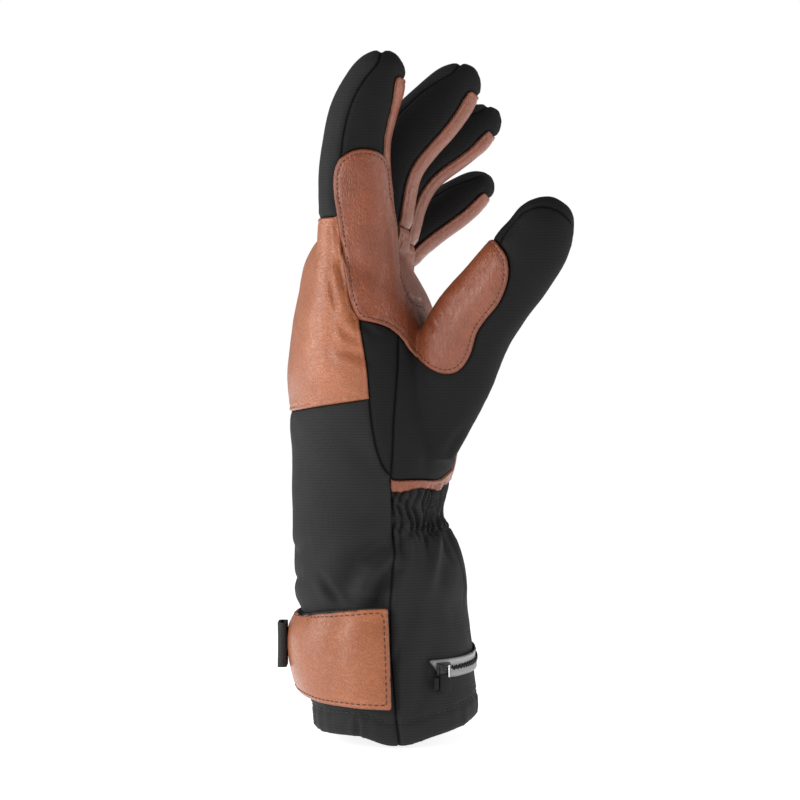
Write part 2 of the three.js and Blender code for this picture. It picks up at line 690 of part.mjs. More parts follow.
// Zip of the battery pocket, around the palm side of the cuff
function zipSlab(width, from, to) {
  const slab = new THREE.BoxGeometry(REACH, to - from, width);
  slab.translate(REACH / 2, (from + to) / 2, 0);
  slab.rotateX(Math.atan(ZIP_TILT));
  slab.translate(0, 0, ZIP_HEIGHT);
  return toSolid(slab);
}

const TAPE_LOW = SEAM_GAP;
const TAPE_HIGH = TAPE_LOW + ZIP_TAPE_THICKNESS;
const COIL_LOW = TAPE_HIGH + SEAM_GAP;
const COIL_HIGH = COIL_LOW + ZIP_COIL_HEIGHT;
const coilStart = ZIP_START + SLIDER_LENGTH;
addPiece('zip_tape', 'zip_tape', skin(TAPE_LOW, TAPE_HIGH).intersect(zipSlab(ZIP_TAPE_WIDTH, ZIP_START, ZIP_END)));
addPiece('zip_coil', 'zip_tape', skin(COIL_LOW, COIL_HIGH).intersect(zipSlab(ZIP_COIL_WIDTH, coilStart, ZIP_END)));

// Slider at the thumb end of the zip, with its fabric puller hanging from it
function standOnCuff(geometry, angle, height, lift) {
  const at = bodyPoint(height, angle, 1, 0, true);
  const ahead = bodyPoint(height, angle + 0.05, 1, 0, true);
  const behind = bodyPoint(height, angle - 0.05, 1, 0, true);
  geometry.rotateZ(Math.atan2(behind.x - ahead.x, ahead.y - behind.y));
  const outward = new THREE.Vector3(ahead.y - behind.y, behind.x - ahead.x, 0).normalize();
  const place = at.addScaledVector(outward, lift);
  geometry.translate(place.x, place.y, height);
  return toSolid(geometry);
}

const SLIDER_ANGLE = THREE.MathUtils.degToRad(-54);
const sliderY = ZIP_START + SLIDER_LENGTH / 2;
const sliderHeight = ZIP_HEIGHT + ZIP_TILT * sliderY;
const slider = new THREE.BoxGeometry(SLIDER_HEIGHT, SLIDER_LENGTH, SLIDER_WIDTH);
const sliderLift = TAPE_HIGH + 2 * SEAM_GAP + SLIDER_HEIGHT / 2;
addPiece('zip_slider', 'zip_metal', standOnCuff(slider, SLIDER_ANGLE, sliderHeight, sliderLift));
const puller = new THREE.BoxGeometry(PULLER_THICKNESS, PULLER_WIDTH, PULLER_LENGTH);
const pullerHeight = sliderHeight - SLIDER_WIDTH / 2 - SEAM_GAP - PULLER_LENGTH / 2;
addPiece('zip_puller', 'webbing', standOnCuff(puller, SLIDER_ANGLE, pullerHeight, sliderLift));

export default glove;
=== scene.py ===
# %% [markdown]
# A heated winter glove, worn on a left hand and seen from the thumb side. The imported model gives
# the frame: metres, fingertips up, palm towards +X, thumb towards -Y. This script makes the
# glove's look as a maker would sew it: one filled body, seam lines drawn on it, panels cut along
# the seams, then leather, cloth, thread, strap and zip.

# %% Load the frame
import json
import math
import random

import bmesh
import bpy
import numpy as np
from mathutils import Matrix, Vector, kdtree, noise

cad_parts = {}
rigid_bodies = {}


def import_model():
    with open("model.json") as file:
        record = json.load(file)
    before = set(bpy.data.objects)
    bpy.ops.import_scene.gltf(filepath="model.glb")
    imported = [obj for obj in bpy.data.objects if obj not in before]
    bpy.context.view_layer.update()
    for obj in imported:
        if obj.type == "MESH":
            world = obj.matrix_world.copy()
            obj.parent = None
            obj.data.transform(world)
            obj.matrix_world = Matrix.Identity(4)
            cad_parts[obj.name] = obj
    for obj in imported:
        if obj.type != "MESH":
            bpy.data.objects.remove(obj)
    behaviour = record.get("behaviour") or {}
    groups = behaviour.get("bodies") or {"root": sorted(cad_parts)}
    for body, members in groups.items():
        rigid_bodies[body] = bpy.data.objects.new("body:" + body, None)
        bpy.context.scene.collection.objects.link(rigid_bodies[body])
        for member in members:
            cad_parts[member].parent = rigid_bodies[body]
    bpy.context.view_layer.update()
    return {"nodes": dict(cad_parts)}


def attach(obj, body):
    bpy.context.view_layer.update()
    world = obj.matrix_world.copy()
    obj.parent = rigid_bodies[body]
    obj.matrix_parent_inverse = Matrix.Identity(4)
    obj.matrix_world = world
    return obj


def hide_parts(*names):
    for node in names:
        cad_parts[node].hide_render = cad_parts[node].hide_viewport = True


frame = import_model()
MM = 0.001
print("nodes in the frame:", len(frame["nodes"]))

# %% [markdown]
# The camera comes first, because everything is judged through it. The photograph looks level at
# the thumb side of the glove, so the camera stands on -Y at half the glove's height. A long
# lens from 1.4 m keeps the hem and the fingertips as flat as they are in the photograph.

# %% Camera
CAMERA_DISTANCE = 1.400
CAMERA_HEIGHT = 0.144
CAMERA_SIDE = 0.0017
VIEW_WIDTH = 0.3448           # metres across the picture at the glove's middle plane
SENSOR = 36.0

camera_data = bpy.data.cameras.new("camera")
camera_data.sensor_width = SENSOR
camera_data.lens = SENSOR * CAMERA_DISTANCE / VIEW_WIDTH
camera = bpy.data.objects.new("camera", camera_data)
camera.location = (CAMERA_SIDE, -CAMERA_DISTANCE, CAMERA_HEIGHT)
camera.rotation_euler = (math.radians(90), 0, 0)
bpy.context.collection.objects.link(camera)
bpy.context.scene.camera = camera

# %% [markdown]
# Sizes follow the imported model: the same driving sizes in millimetres, and the same tables of
# sections as shares of them.

# %% Sizes of the glove
CUFF_HEIGHT = 96
CUFF_THICKNESS = 70
CUFF_WIDTH = 100
HAND_HEIGHT = 104
HAND_THICKNESS = 72
HAND_WIDTH = 112
FINGER_LINE = CUFF_HEIGHT + HAND_HEIGHT
HEM_RISE = 7
KNUCKLE_DROP = 12
KNUCKLE_CUP = 8
CURL_START = 0.7
FINGER_LENGTH = 101
FINGER_THICKNESS = 30
FINGER_WIDTH = 26
THUMB_LENGTH = 122
THUMB_THICKNESS = 31
THUMB_WIDTH = 29
WALL = 2.6
BODY_SQUARENESS = 2.35
DIGIT_SQUARENESS = 2.25

# %% Section tables
# height, back, palm, half width: thousandths of CUFF_HEIGHT, CUFF_THICKNESS and CUFF_WIDTH
CUFF_ROWS = [
    (  0, -493, 493, 500),
    ( 65, -505, 499, 503),
    (155, -517, 493, 500),
    (245, -573, 480, 492),
    (375, -612, 471, 486),
    (480, -608, 456, 482),
    (550, -570, 440, 474),
    (605, -606, 432, 474),
    (670, -618, 436, 475),
    (775, -616, 413, 468),
    (870, -631, 376, 454),
    (935, -637, 333, 445),
]
# the same columns for the hand: thousandths of HAND_HEIGHT, HAND_THICKNESS and HAND_WIDTH
HAND_ROWS = [
    (   0, -620, 282, 393),
    (  70, -622, 306, 402),
    ( 138, -622, 335, 415),
    ( 233, -620, 365, 438),
    ( 337, -634, 383, 460),
    ( 460, -638, 365, 482),
    ( 587, -652, 311, 496),
    ( 710, -642, 251, 500),
    ( 813, -630, 204, 500),
    ( 915, -605, 158, 493),
    (1020, -580,  75, 475),
    (1090, -540,   5, 436),
    (1140, -495, -70, 360),
]
BODY_ROWS = [
    (start + h / 1000 * tall, b / 1000 * thick, p / 1000 * thick, w / 1000 * wide)
    for start, tall, thick, wide, rows in (
        (0, CUFF_HEIGHT, CUFF_THICKNESS, CUFF_WIDTH, CUFF_ROWS),
        (CUFF_HEIGHT, HAND_HEIGHT, HAND_THICKNESS, HAND_WIDTH, HAND_ROWS))
    for h, b, p, w in rows
]
BODY_TOP = BODY_ROWS[-1][0]

FINGER_COLUMNS = (
    "name", "x", "y", "z", "splay", "length", "thickness", "width",
    "lean_base", "lean_tip", "bend_from", "bend_to", "back_seam", "palm_seam", "crotch",
)
FINGER_ROWS = [
    ("index", -0.214, -0.370, 0.960, -1.5, 1.00, 0.96, 1.00, -2, 31, 0.40, 0.95, 0.42, 0.84, 0.24),
    ("middle", -0.190, -0.125, 0.955, -0.5, 1.09, 0.93, 1.00, 10, 43, 0.35, 0.64, 0.76, 0.66, 0.26),
    ("ring", -0.170, 0.110, 0.925, 1.0, 1.07, 0.83, 0.93, 15, 57, 0.34, 0.74, 0.76, 0.66, 0.28),
    ("little", -0.170, 0.338, 0.910, 2.5, 0.84, 0.72, 0.88, 22, 55, 0.22, 0.56, 0.76, 0.54, 0.34),
]
# share along the finger, half thickness and half width as shares of the whole ones
FINGER_PROFILE = [
    (0.00, 0.60, 0.46),
    (0.20, 0.58, 0.50),
    (0.37, 0.55, 0.50),
    (0.58, 0.50, 0.50),
    (0.76, 0.475, 0.48),
    (0.86, 0.43, 0.43),
    (0.92, 0.365, 0.38),
    (0.97, 0.25, 0.27),
    (1.00, 0.06, 0.06),
]
THUMB_ROOT = (0.194, -0.268, 0.610)
# places along the thumb from its root, in thousandths of THUMB_LENGTH
THUMB_LINE = [
    (  0,    0,   0),
    ( 66,  -49, 230),
    (139, -115, 418),
    (222, -172, 533),
    (292, -205, 623),
    (361, -230, 716),
    (396, -242, 801),
    (411, -246, 869),
]
THUMB_PROFILE = [
    (0.00, 0.36, 0.36),
    (0.24, 0.56, 0.56),
    (0.45, 0.58, 0.57),
    (0.60, 0.53, 0.53),
    (0.72, 0.515, 0.50),
    (0.84, 0.475, 0.47),
    (0.93, 0.40, 0.40),
    (0.975, 0.27, 0.27),
    (1.00, 0.06, 0.06),
]


# %% Reading the tables
def blend(value, low, high):
    """0 below low, 1 above high, and an S curve between; works on arrays."""
    t = np.clip((value - low) / (high - low), 0.0, 1.0)
    return t * t * (3 - 2 * t)


def read_table(rows, value):
    """A smooth curve through a table's rows, read at one value of its first column."""
    i = 0
    while i < len(rows) - 2 and value > rows[i + 1][0]:
        i += 1
    before, start, end, after = (
        np.array(rows[min(max(k, 0), len(rows) - 1)], float) for k in (i - 1, i, i + 1, i + 2)
    )
    span = end[0] - start[0]
    t = min(max((value - start[0]) / span, 0.0), 1.0)
    slope_in = (end - before) / (end[0] - before[0]) * span
    slope_out = (after - start) / (after[0] - start[0]) * span
    return (
        start * (2 * t**3 - 3 * t**2 + 1) + slope_in * (t**3 - 2 * t**2 + t)
        + end * (3 * t**2 - 2 * t**3) + slope_out * (t**3 - t**2)
    )


def rounded_section(turns, squareness):
    """Unit rounded box section: how far across and how far sideways at each of its points."""
    angles = np.linspace(0, 2 * math.pi, turns, False)
    return [np.sign(wave) * np.abs(wave) ** (2 / squareness)
            for wave in (np.cos(angles), np.sin(angles))]


# %% [markdown]
# The body of the glove is a filled hand. Each digit is a tube whose centre line starts inside the
# hand and leans further towards the palm along its length, as relaxed fingers do. A tube's ring
# is a circle whose points are moved onto the section that the tables give there.

# %% Centre lines of fingers and thumb
LINE_STEPS = 120


def finger_line(finger):
    """Points along a finger, from inside the hand to its tip."""
    step = finger["length"] * FINGER_LENGTH / LINE_STEPS
    point = np.array((
        finger["x"] * HAND_THICKNESS, finger["y"] * HAND_WIDTH, finger["z"] * FINGER_LINE))
    points = [point]
    for k in range(LINE_STEPS):
        share = blend((k + 0.5) / LINE_STEPS, finger["bend_from"], finger["bend_to"])
        lean = math.radians(finger["lean_base"] + (finger["lean_tip"] - finger["lean_base"]) * share)
        splay = math.sin(math.radians(finger["splay"]))
        point = point + step * np.array((math.sin(lean), splay, math.cos(lean)))
        points.append(point)
    return np.array(points)


def thumb_line():
    """Points along the thumb, evenly spaced on a smooth curve through its table."""
    root = np.array((
        THUMB_ROOT[0] * HAND_THICKNESS, THUMB_ROOT[1] * HAND_WIDTH, THUMB_ROOT[2] * FINGER_LINE))
    rows = [(k, *row) for k, row in enumerate(THUMB_LINE)]
    fine = np.array([read_table(rows, t)[1:] for t in np.linspace(0, len(rows) - 1, 400)])
    fine = root + fine / 1000 * THUMB_LENGTH
    gone = np.concatenate(([0], np.cumsum(np.linalg.norm(np.diff(fine, axis=0), axis=1))))
    even = np.linspace(0, gone[-1], LINE_STEPS + 1)
    return np.stack([np.interp(even, gone, fine[:, axis]) for axis in range(3)], axis=1)


DIGITS = [dict(zip(FINGER_COLUMNS, row)) for row in FINGER_ROWS]
for digit in DIGITS:
    digit["line"] = finger_line(digit)
    digit["thick_mm"] = digit["thickness"] * FINGER_THICKNESS
    digit["wide_mm"] = digit["width"] * FINGER_WIDTH
    digit["profile"] = FINGER_PROFILE
    digit["middle"] = digit["y"] * HAND_WIDTH
THUMB = {
    "name": "thumb", "line": thumb_line(), "thick_mm": THUMB_THICKNESS, "wide_mm": THUMB_WIDTH,
    "profile": THUMB_PROFILE,
}


def digit_frame(digit, share):
    """Centre, palmward and sideways directions, half thickness and half width at one place."""
    line = digit["line"]
    steps = np.linspace(0, 1, len(line))
    low, centre, high = (
        np.array([np.interp(at, steps, line[:, axis]) for axis in range(3)])
        for at in (max(share - 0.01, 0), share, min(share + 0.01, 1)))
    along = (high - low) / np.linalg.norm(high - low)
    palmward = np.array((along[2], 0, -along[0]))
    palmward /= np.linalg.norm(palmward)
    sideways = np.cross(along, palmward)
    _, thick, wide = read_table(digit["profile"], share)
    return centre, palmward, sideways, thick * digit["thick_mm"], wide * digit["wide_mm"]


def flat_frame(digit, share):
    """Centre, palmward direction, direction ahead in the X, Z plane and half thickness."""
    centre, palmward, _, half_thick, _ = digit_frame(digit, share)
    return centre, palmward, np.array((-palmward[2], 0, palmward[0])), half_thick


# %% Rings of the body and of the digits
RING_POINTS = 96
DIGIT_POINTS = 48
INDEX_PLACE = DIGITS[0]["y"]


def body_ring(height, turns=RING_POINTS):
    """Points of one horizontal section of cuff and hand."""
    _, back, palm, half_width = read_table(BODY_ROWS, height)
    across, side = rounded_section(turns, BODY_SQUARENESS)
    points = np.stack((
        (back + palm) / 2 + across * ((palm - back) / 2),
        side * half_width,
        np.full(turns, float(height))), axis=1)
    past_index = points[:, 1] / HAND_WIDTH - INDEX_PLACE
    curl = blend(height, CURL_START * FINGER_LINE, FINGER_LINE) * past_index
    points[:, 0] += KNUCKLE_CUP * curl
    points[:, 2] -= KNUCKLE_DROP * curl
    palmward = np.maximum(0, points[:, 0] / (CUFF_THICKNESS / 2))
    points[:, 2] += HEM_RISE * palmward**2 * (1 - blend(height, 0, CUFF_HEIGHT / 2))
    return points


def digit_ring(digit, share):
    """Points of one section of a digit."""
    centre, palmward, sideways, half_thick, half_wide = digit_frame(digit, share)
    across, side = rounded_section(DIGIT_POINTS, DIGIT_SQUARENESS)
    return (centre + half_thick * across[:, None] * palmward
            + half_wide * side[:, None] * sideways)


def add_tube(bm, rings, capped=True):
    """Skin a tube over rings of points: a circle is extruded and moved ring by ring."""
    circle = bmesh.ops.create_circle(
        bm, cap_ends=capped, radius=1, segments=len(rings[0]))["verts"]
    row = sorted(circle, key=lambda v: math.atan2(v.co.y, v.co.x) % (2 * math.pi))
    for vert, point in zip(row, rings[0]):
        vert.co = point
    for ring in rings[1:]:
        edges = [bm.edges.get((a, b)) for a, b in zip(row, row[1:] + row[:1])]
        made = bmesh.ops.extrude_edge_only(bm, edges=edges)["geom"]
        fresh = {g for g in made if isinstance(g, bmesh.types.BMVert)}
        row = [next(e.other_vert(v) for e in v.link_edges if e.other_vert(v) in fresh) for v in row]
        for vert, point in zip(row, ring):
            vert.co = point
    if capped:
        bmesh.ops.contextual_create(bm, geom=row)


# %% One filled body
def new_object(name, bm):
    """Make an object of a bmesh, with smooth faces."""
    mesh = bpy.data.meshes.new(name)
    for face in bm.faces:
        face.smooth = True
    bm.to_mesh(mesh)
    bm.free()
    piece = bpy.data.objects.new(name, mesh)
    bpy.context.collection.objects.link(piece)
    return piece


VOXEL = 1.25
BODY_STEP = 2.4
BELOW_HEM = 8                 # the body goes on below the hem, where it is cut off later
DIGIT_RINGS = 44
TIP_CROWDING = 1.35           # above 1, the rings crowd towards the tip


def filled_body():
    """Body tube and digits remeshed into one even skin, in millimetres."""
    bm = bmesh.new()
    heights = np.linspace(-BELOW_HEM, BODY_TOP, int((BODY_TOP + BELOW_HEM) / BODY_STEP))
    add_tube(bm, [body_ring(max(h, 0)) + np.array((0, 0, min(h, 0))) for h in heights])
    for digit in [*DIGITS, THUMB]:
        shares = 1 - (1 - np.linspace(0, 1, DIGIT_RINGS)) ** TIP_CROWDING
        add_tube(bm, [digit_ring(digit, share) for share in shares])
    bmesh.ops.recalc_face_normals(bm, faces=bm.faces)
    rough = new_object("rough_body", bm)
    remesh = rough.modifiers.new("even", "REMESH")
    remesh.mode = "VOXEL"
    remesh.voxel_size = VOXEL
    remesh.use_smooth_shade = True
    depsgraph = bpy.context.evaluated_depsgraph_get()
    skin = bmesh.new()
    skin.from_mesh(rough.evaluated_get(depsgraph).to_mesh())
    bpy.data.objects.remove(rough)
    return skin


ALL_AXES = {"use_axis_x": True, "use_axis_y": True, "use_axis_z": True}
SMOOTHING_PASSES = 6
skin = filled_body()
for _ in range(SMOOTHING_PASSES):
    bmesh.ops.smooth_vert(skin, verts=skin.verts, factor=0.5, **ALL_AXES)
print("points in the filled body:", len(skin.verts))

# %% [markdown]
# On the real glove the panels are cut from flat leather and cloth and sewn edge to edge. Here the
# skin is whole, so a seam is a line drawn on it: every edge that crosses the line is split there,
# the new points are joined across the faces, and the faces inside get the panel's number. Cutting
# one skin keeps both sides of each seam in step.

# %% Cutting the skin along a seam
SNAP = 0.16                   # a point this close to a seam line counts as lying on it
NEAR = 4.0                    # no edge of the skin is longer than this
FAR = 1e9
SKIN = -1                     # the number of faces that no panel has claimed yet
panel_layer = skin.faces.layers.int.new("panel")
for face in skin.faces:
    face[panel_layer] = SKIN
PANELS = []


def places(bm):
    """All points of a bmesh as rows of an array."""
    return np.array([v.co[:] for v in bm.verts])


def segment_distance(x, z, start, end):
    """Distance to a straight piece in a plane, and how far along it the nearest place is."""
    (ax, az), dx, dz = start, end[0] - start[0], end[1] - start[1]
    t = np.clip(((x - ax) * dx + (z - az) * dz) / (dx * dx + dz * dz), 0, 1)
    return np.hypot(x - ax - t * dx, z - az - t * dz), t


def outline_distance(points, x, z):
    """Distance to a closed outline in the X, Z plane, negative inside."""
    corners = np.asarray(points, float)
    nearest = np.full(len(x), FAR)
    inside = np.zeros(len(x), bool)
    for (ax, az), (bx, bz) in zip(corners, np.roll(corners, -1, axis=0)):
        nearest = np.minimum(nearest, segment_distance(x, z, (ax, az), (bx, bz))[0])
        crosses = (az > z) != (bz > z)
        inside ^= crosses & (x < ax + (z - az) * (bx - ax) / np.where(bz == az, 1e-9, bz - az))
    return np.where(inside, -nearest, nearest)


def region(outline, low=-400, high=400):
    """A panel's field: an outline seen from the side, between two places along Y."""
    corners = np.asarray(outline, float)
    lowest, highest = corners.min(axis=0) - NEAR, corners.max(axis=0) + NEAR

    def field(p):
        flat = np.full(len(p), NEAR)
        close = np.all((p[:, ::2] > lowest) & (p[:, ::2] < highest), axis=1)
        flat[close] = outline_distance(outline, p[close, 0], p[close, 2])
        return np.maximum.reduce([flat, low - p[:, 1], p[:, 1] - high])
    return field


def both(first, second):
    return lambda p: np.maximum(first(p), second(p))


def either(*fields):
    return lambda p: np.minimum.reduce([field(p) for field in fields])


def cut_panel(name, field):
    """Draw a panel's border on the skin and give the unclaimed faces inside it its number."""
    skin.verts.ensure_lookup_table()
    skin.verts.index_update()
    values = field(places(skin))
    values[np.abs(values) < SNAP] = 0
    close = [v for v in skin.verts if abs(values[v.index]) < NEAR]
    crossing = {
        e for v in close for e in v.link_edges
        if values[e.verts[0].index] * values[e.verts[1].index] < 0
        and any(f[panel_layer] == SKIN for f in e.link_faces)
    }
    ends = set()
    values = np.append(values, 0.0)
    for edge in crossing:
        a, b = edge.verts
        value_a, value_b = values[a.index], values[b.index]
        _, made = bmesh.utils.edge_split(edge, a, value_a / (value_a - value_b))
        made.index = len(values) - 1
        ends.add(made)
    touched = {f for v in ends for f in v.link_faces if f[panel_layer] == SKIN}
    on_line = {v for f in touched for v in f.verts if v not in ends and values[v.index] == 0}
    bmesh.ops.connect_verts(skin, verts=list(ends | on_line))
    for vert in ends:
        vert.index = len(values) - 1
    number = len(PANELS)
    PANELS.append(name)
    values = values.tolist()
    for face in skin.faces:
        if face[panel_layer] == SKIN and sum(values[v.index] for v in face.verts) < 0:
            face[panel_layer] = number


# %% Seam lines on the hand
def on_hand(points):
    """Places across are thousandths of HAND_THICKNESS, heights thousandths of FINGER_LINE."""
    return [(x / 1000 * HAND_THICKNESS, z / 1000 * FINGER_LINE) for x, z in points]


def rounded(points, turns=3):
    """Cut an outline's corners a few times, so that a seam runs smoothly."""
    line = np.asarray(points, float)
    for _ in range(turns):
        after = np.roll(line, -1, axis=0)
        line = np.stack((0.8 * line + 0.2 * after, 0.2 * line + 0.8 * after), 1).reshape(-1, 2)
    return line


SADDLE_INDEX_SEAM = on_hand([
    (-74, 1234), (-218, 1244), (-344, 1217), (-367, 1170), (-344, 1116), (-321, 1064),
    (-293, 985), (-264, 917), (-212, 882), (-132, 882), (-57, 873), (24, 857), (104, 815),
    (191, 784), (240, 778), (240, 880), (185, 900), (116, 917), (81, 958), (58, 1010),
    (18, 1054), (1, 1095), (-28, 1149), (-34, 1201),
])
SADDLE_THUMB_SEAM = on_hand([
    (120, 920), (120, 812), (191, 784), (280, 770), (369, 778), (433, 815), (456, 857),
    (513, 887), (588, 916), (640, 962), (646, 1006), (603, 1032), (555, 1054), (430, 1040),
])
# the web between the two parts of the patch, where it wraps around towards the palm
SADDLE_WEB_SEAM = on_hand([
    (0, 880), (104, 824), (191, 792), (260, 782), (340, 800), (330, 850), (250, 905), (175, 925),
    (110, 925), (60, 940), (0, 940),
])
THUMB_PANEL_SEAM = on_hand([
    (24, 890), (16, 782), (-11, 676), (-22, 570), (-25, 549), (129, 553), (262, 549), (350, 574),
    (600, 580), (1400, 1000), (1400, 1070), (1060, 1072), (1007, 1084), (985, 1096), (903, 1117),
    (815, 1122), (721, 1109), (633, 1075), (588, 1046), (540, 1010), (450, 960), (205, 880),
    (191, 820), (104, 845),
])
THUMB_BASE_SEAM = on_hand([
    (340, 930), (560, 720), (800, 720), (1400, 1000), (1000, 1300), (450, 1200), (370, 1010),
])
WEDGE_SEAM = on_hand([
    (30, 930), (-205, 930), (-213, 882), (-167, 782), (-155, 719), (-144, 676), (-120, 623),
    (-92, 591), (-45, 560), (-22, 560), (30, 676), (60, 782), (70, 900),
])
KNUCKLE_SEAM = on_hand([
    (-1000, 690), (-616, 697), (-383, 710), (-156, 722), (-120, 724), (-120, 1300),
    (-1000, 1300),
])
PALM_SEAM = on_hand([
    (-120, 1300), (-120, 724), (-22, 570), (-28, 525), (59, 525), (117, 536), (210, 532),
    (257, 525), (326, 547), (1000, 547), (1000, 1300),
])
BACK_SEAM = on_hand([
    (-1000, 800), (-100, 800), (-22, 570), (-22, 464), (-11, 410), (-17, 358), (-33, 304),
    (-37, 260), (-29, 180), (0, 60), (30, -20), (50, -80), (-1000, -80),
])

# %% Seam lines along the fingers
SEAM_STEPS = 24
SEAM_CLOSING = 0.4            # how far the side seams close up towards a fingertip
TIP_SHARE = 0.92              # share along a finger where its palm strip ends
TIP_WRAP = 16                 # how far ahead of there the side's outline reaches
FORK_DEPTH = 0.10
BACK_START = 0.04
OUTSIDE = 1.6                 # in half thicknesses: clear of the finger
HOOD_REACH = 8 * OUTSIDE
INDEX_SIDE_START = 0.45


def digit_band(digit, start, end, near, far):
    """A strip along a digit between two shares of its half thickness, palm side positive."""
    def edge(share, across):
        centre, palmward, _, half_thick = flat_frame(digit, share)
        if abs(across) < 1:
            across = across * (1 - SEAM_CLOSING * float(blend(share, 0.75, 1)))
        point = centre + palmward * across * half_thick
        return point[0], point[2]
    shares = np.linspace(start, end, SEAM_STEPS)
    return [edge(s, near) for s in shares] + [edge(s, far) for s in shares[::-1]]


def side_band(digit, start):
    """A finger's side; past the end of the palm strip it also covers the tip's palm side."""
    band = digit_band(digit, start, TIP_SHARE, -digit["back_seam"], digit["palm_seam"])
    centre, palmward, ahead, half_thick = flat_frame(digit, TIP_SHARE)
    wrap = []
    for across, distance in ((-0.8, TIP_WRAP), (1.6, TIP_WRAP), (1.6, 0)):
        corner = centre + palmward * across * half_thick + ahead * distance
        wrap.append((corner[0], corner[2]))
    return band[:SEAM_STEPS] + wrap + band[SEAM_STEPS:]


def gap_between(first, second):
    near = first["middle"] + first["wide_mm"] / 2
    return (near + second["middle"] - second["wide_mm"] / 2) / 2


THUMB_SPLIT_Y = -0.214 * HAND_WIDTH
THUMB_SPLIT_Z = 0.575 * FINGER_LINE
THUMB_SPLIT_SLOPE = 0.363
THUMB_RING = 0.46             # share along the thumb where the palm's leather ends behind it


def thumb_near_half(p):
    """Field of everything on the thumb side of a sloping plane."""
    slope = math.atan(THUMB_SPLIT_SLOPE)
    return ((p[:, 1] - THUMB_SPLIT_Y) * math.cos(slope)
            + (p[:, 2] - THUMB_SPLIT_Z) * math.sin(slope))


def beyond_thumb_root(p):
    """Field of the thumb beyond a plane that crosses it."""
    centre, _, ahead, _ = flat_frame(THUMB, THUMB_RING)
    return -(p - centre) @ ahead


# %% Open the hem
def hem_height(x):
    """The hem rises on the palm side of the cuff, and a little on the back."""
    palm_rise = HEM_RISE * (np.maximum(0, x) / (CUFF_THICKNESS / 2)) ** 2
    return palm_rise + 2.2 * blend(x, 2, 18) + 3.8 * blend(-x, 1, 18)


cut_panel("hem_cap", lambda p: np.clip(p[:, 2] - hem_height(p[:, 0]), -NEAR, NEAR))
cap = [f for f in skin.faces if f[panel_layer] == 0]
bmesh.ops.delete(skin, geom=cap, context="FACES")
print("faces cut away below the hem:", len(cap))
renumbered = bpy.data.meshes.new("open_skin")
skin.to_mesh(renumbered)
skin.clear()
skin.from_mesh(renumbered)
panel_layer = skin.faces.layers.int["panel"]

# %% Cut all the panels, in the order in which they overlap
cut_panel("saddle_patch", either(
    region(rounded(SADDLE_INDEX_SEAM, 2), high=-0.37 * HAND_WIDTH),
    region(SADDLE_WEB_SEAM, high=-0.24 * HAND_WIDTH),
    region(rounded(SADDLE_THUMB_SEAM, 2), high=-0.385 * HAND_WIDTH)))
INDEX = DIGITS[0]
cut_panel("index_side", region(side_band(INDEX, INDEX_SIDE_START), high=INDEX["middle"]))
for first, second in zip(DIGITS, DIGITS[1:]):
    gap = gap_between(first, second)
    cut_panel(f"fork_{first['name']}_{second['name']}", either(
        region(side_band(first, first["crotch"] - FORK_DEPTH), first["middle"], gap + 0.3),
        region(side_band(second, second["crotch"] - FORK_DEPTH), gap - 0.3, second["middle"])))
for i, digit in enumerate(DIGITS):
    low = -400 if i == 0 else gap_between(DIGITS[i - 1], digit)
    high = 400 if i == len(DIGITS) - 1 else gap_between(digit, DIGITS[i + 1])
    strip = digit_band(digit, digit["crotch"], TIP_SHARE, digit["palm_seam"], OUTSIDE)
    cut_panel(f"{digit['name']}_palm", region(strip, low, high))
    hood = digit_band(digit, digit["crotch"] + BACK_START, 1, -OUTSIDE, OUTSIDE)
    centre, palmward, ahead, _ = flat_frame(digit, 1.0)
    for side in (HOOD_REACH, -HOOD_REACH):
        corner = centre + palmward * side + ahead * 12
        hood.insert(SEAM_STEPS, (corner[0], corner[2]))
    cut_panel(f"{digit['name']}_back", region(hood, low, high))
heel_corner = region(on_hand([(100, 520), (800, 520), (800, 620), (100, 620)]), high=-7)
cut_panel("thumb_front", both(region(THUMB_PANEL_SEAM), either(thumb_near_half, heel_corner)))
cut_panel("thumb_back", both(region(THUMB_BASE_SEAM), either(
    lambda p: p[:, 1] + 0.33 * HAND_WIDTH, beyond_thumb_root)))
cut_panel("side_wedge", region(WEDGE_SEAM, high=-0.2 * HAND_WIDTH))
cut_panel("knuckle_panel", region(KNUCKLE_SEAM))
cut_panel("palm_leather", region(PALM_SEAM))
cut_panel("back_panel", region(BACK_SEAM))
cut_panel("cuff_palm", lambda p: p[:, 0] * 0 - NEAR)
for face in skin.faces:
    around = [f[panel_layer] for e in face.edges for f in e.link_faces if f is not face]
    if face[panel_layer] not in around:
        face[panel_layer] = max(around, key=around.count)

# %% Ease the seam lines
EASING_PASSES = 10
border = [e for e in skin.edges if len({f[panel_layer] for f in e.link_faces}) == 2]
joined = {}
for edge in border:
    for vert in edge.verts:
        joined.setdefault(vert, []).append(edge.other_vert(vert))
inner_turns = {v: ends for v, ends in joined.items() if len(ends) == 2}
beside = {e.other_vert(v) for v in inner_turns for e in v.link_edges} - set(joined)
for _ in range(EASING_PASSES):
    wanted = [(v, v.co / 2 + (a.co + b.co) / 4) for v, (a, b) in inner_turns.items()]
    for vert, place in wanted:
        vert.co = place
    bmesh.ops.smooth_vert(skin, verts=list(beside), factor=0.35, **ALL_AXES)
counts = {name: 0 for name in PANELS}
for face in skin.faces:
    counts[PANELS[face[panel_layer]]] += 1
print("faces of each panel:", counts)

# %% [markdown]
# A seam pulls the cloth down into a shallow valley, and where leather is laid over cloth its cut
# edge stands proud instead. So each point needs to know how far the nearest seam is and what is
# sewn on there. The skin stores, for every seam edge, the two panels that meet; each panel then
# becomes a mesh of its own and measures the distance to its border.

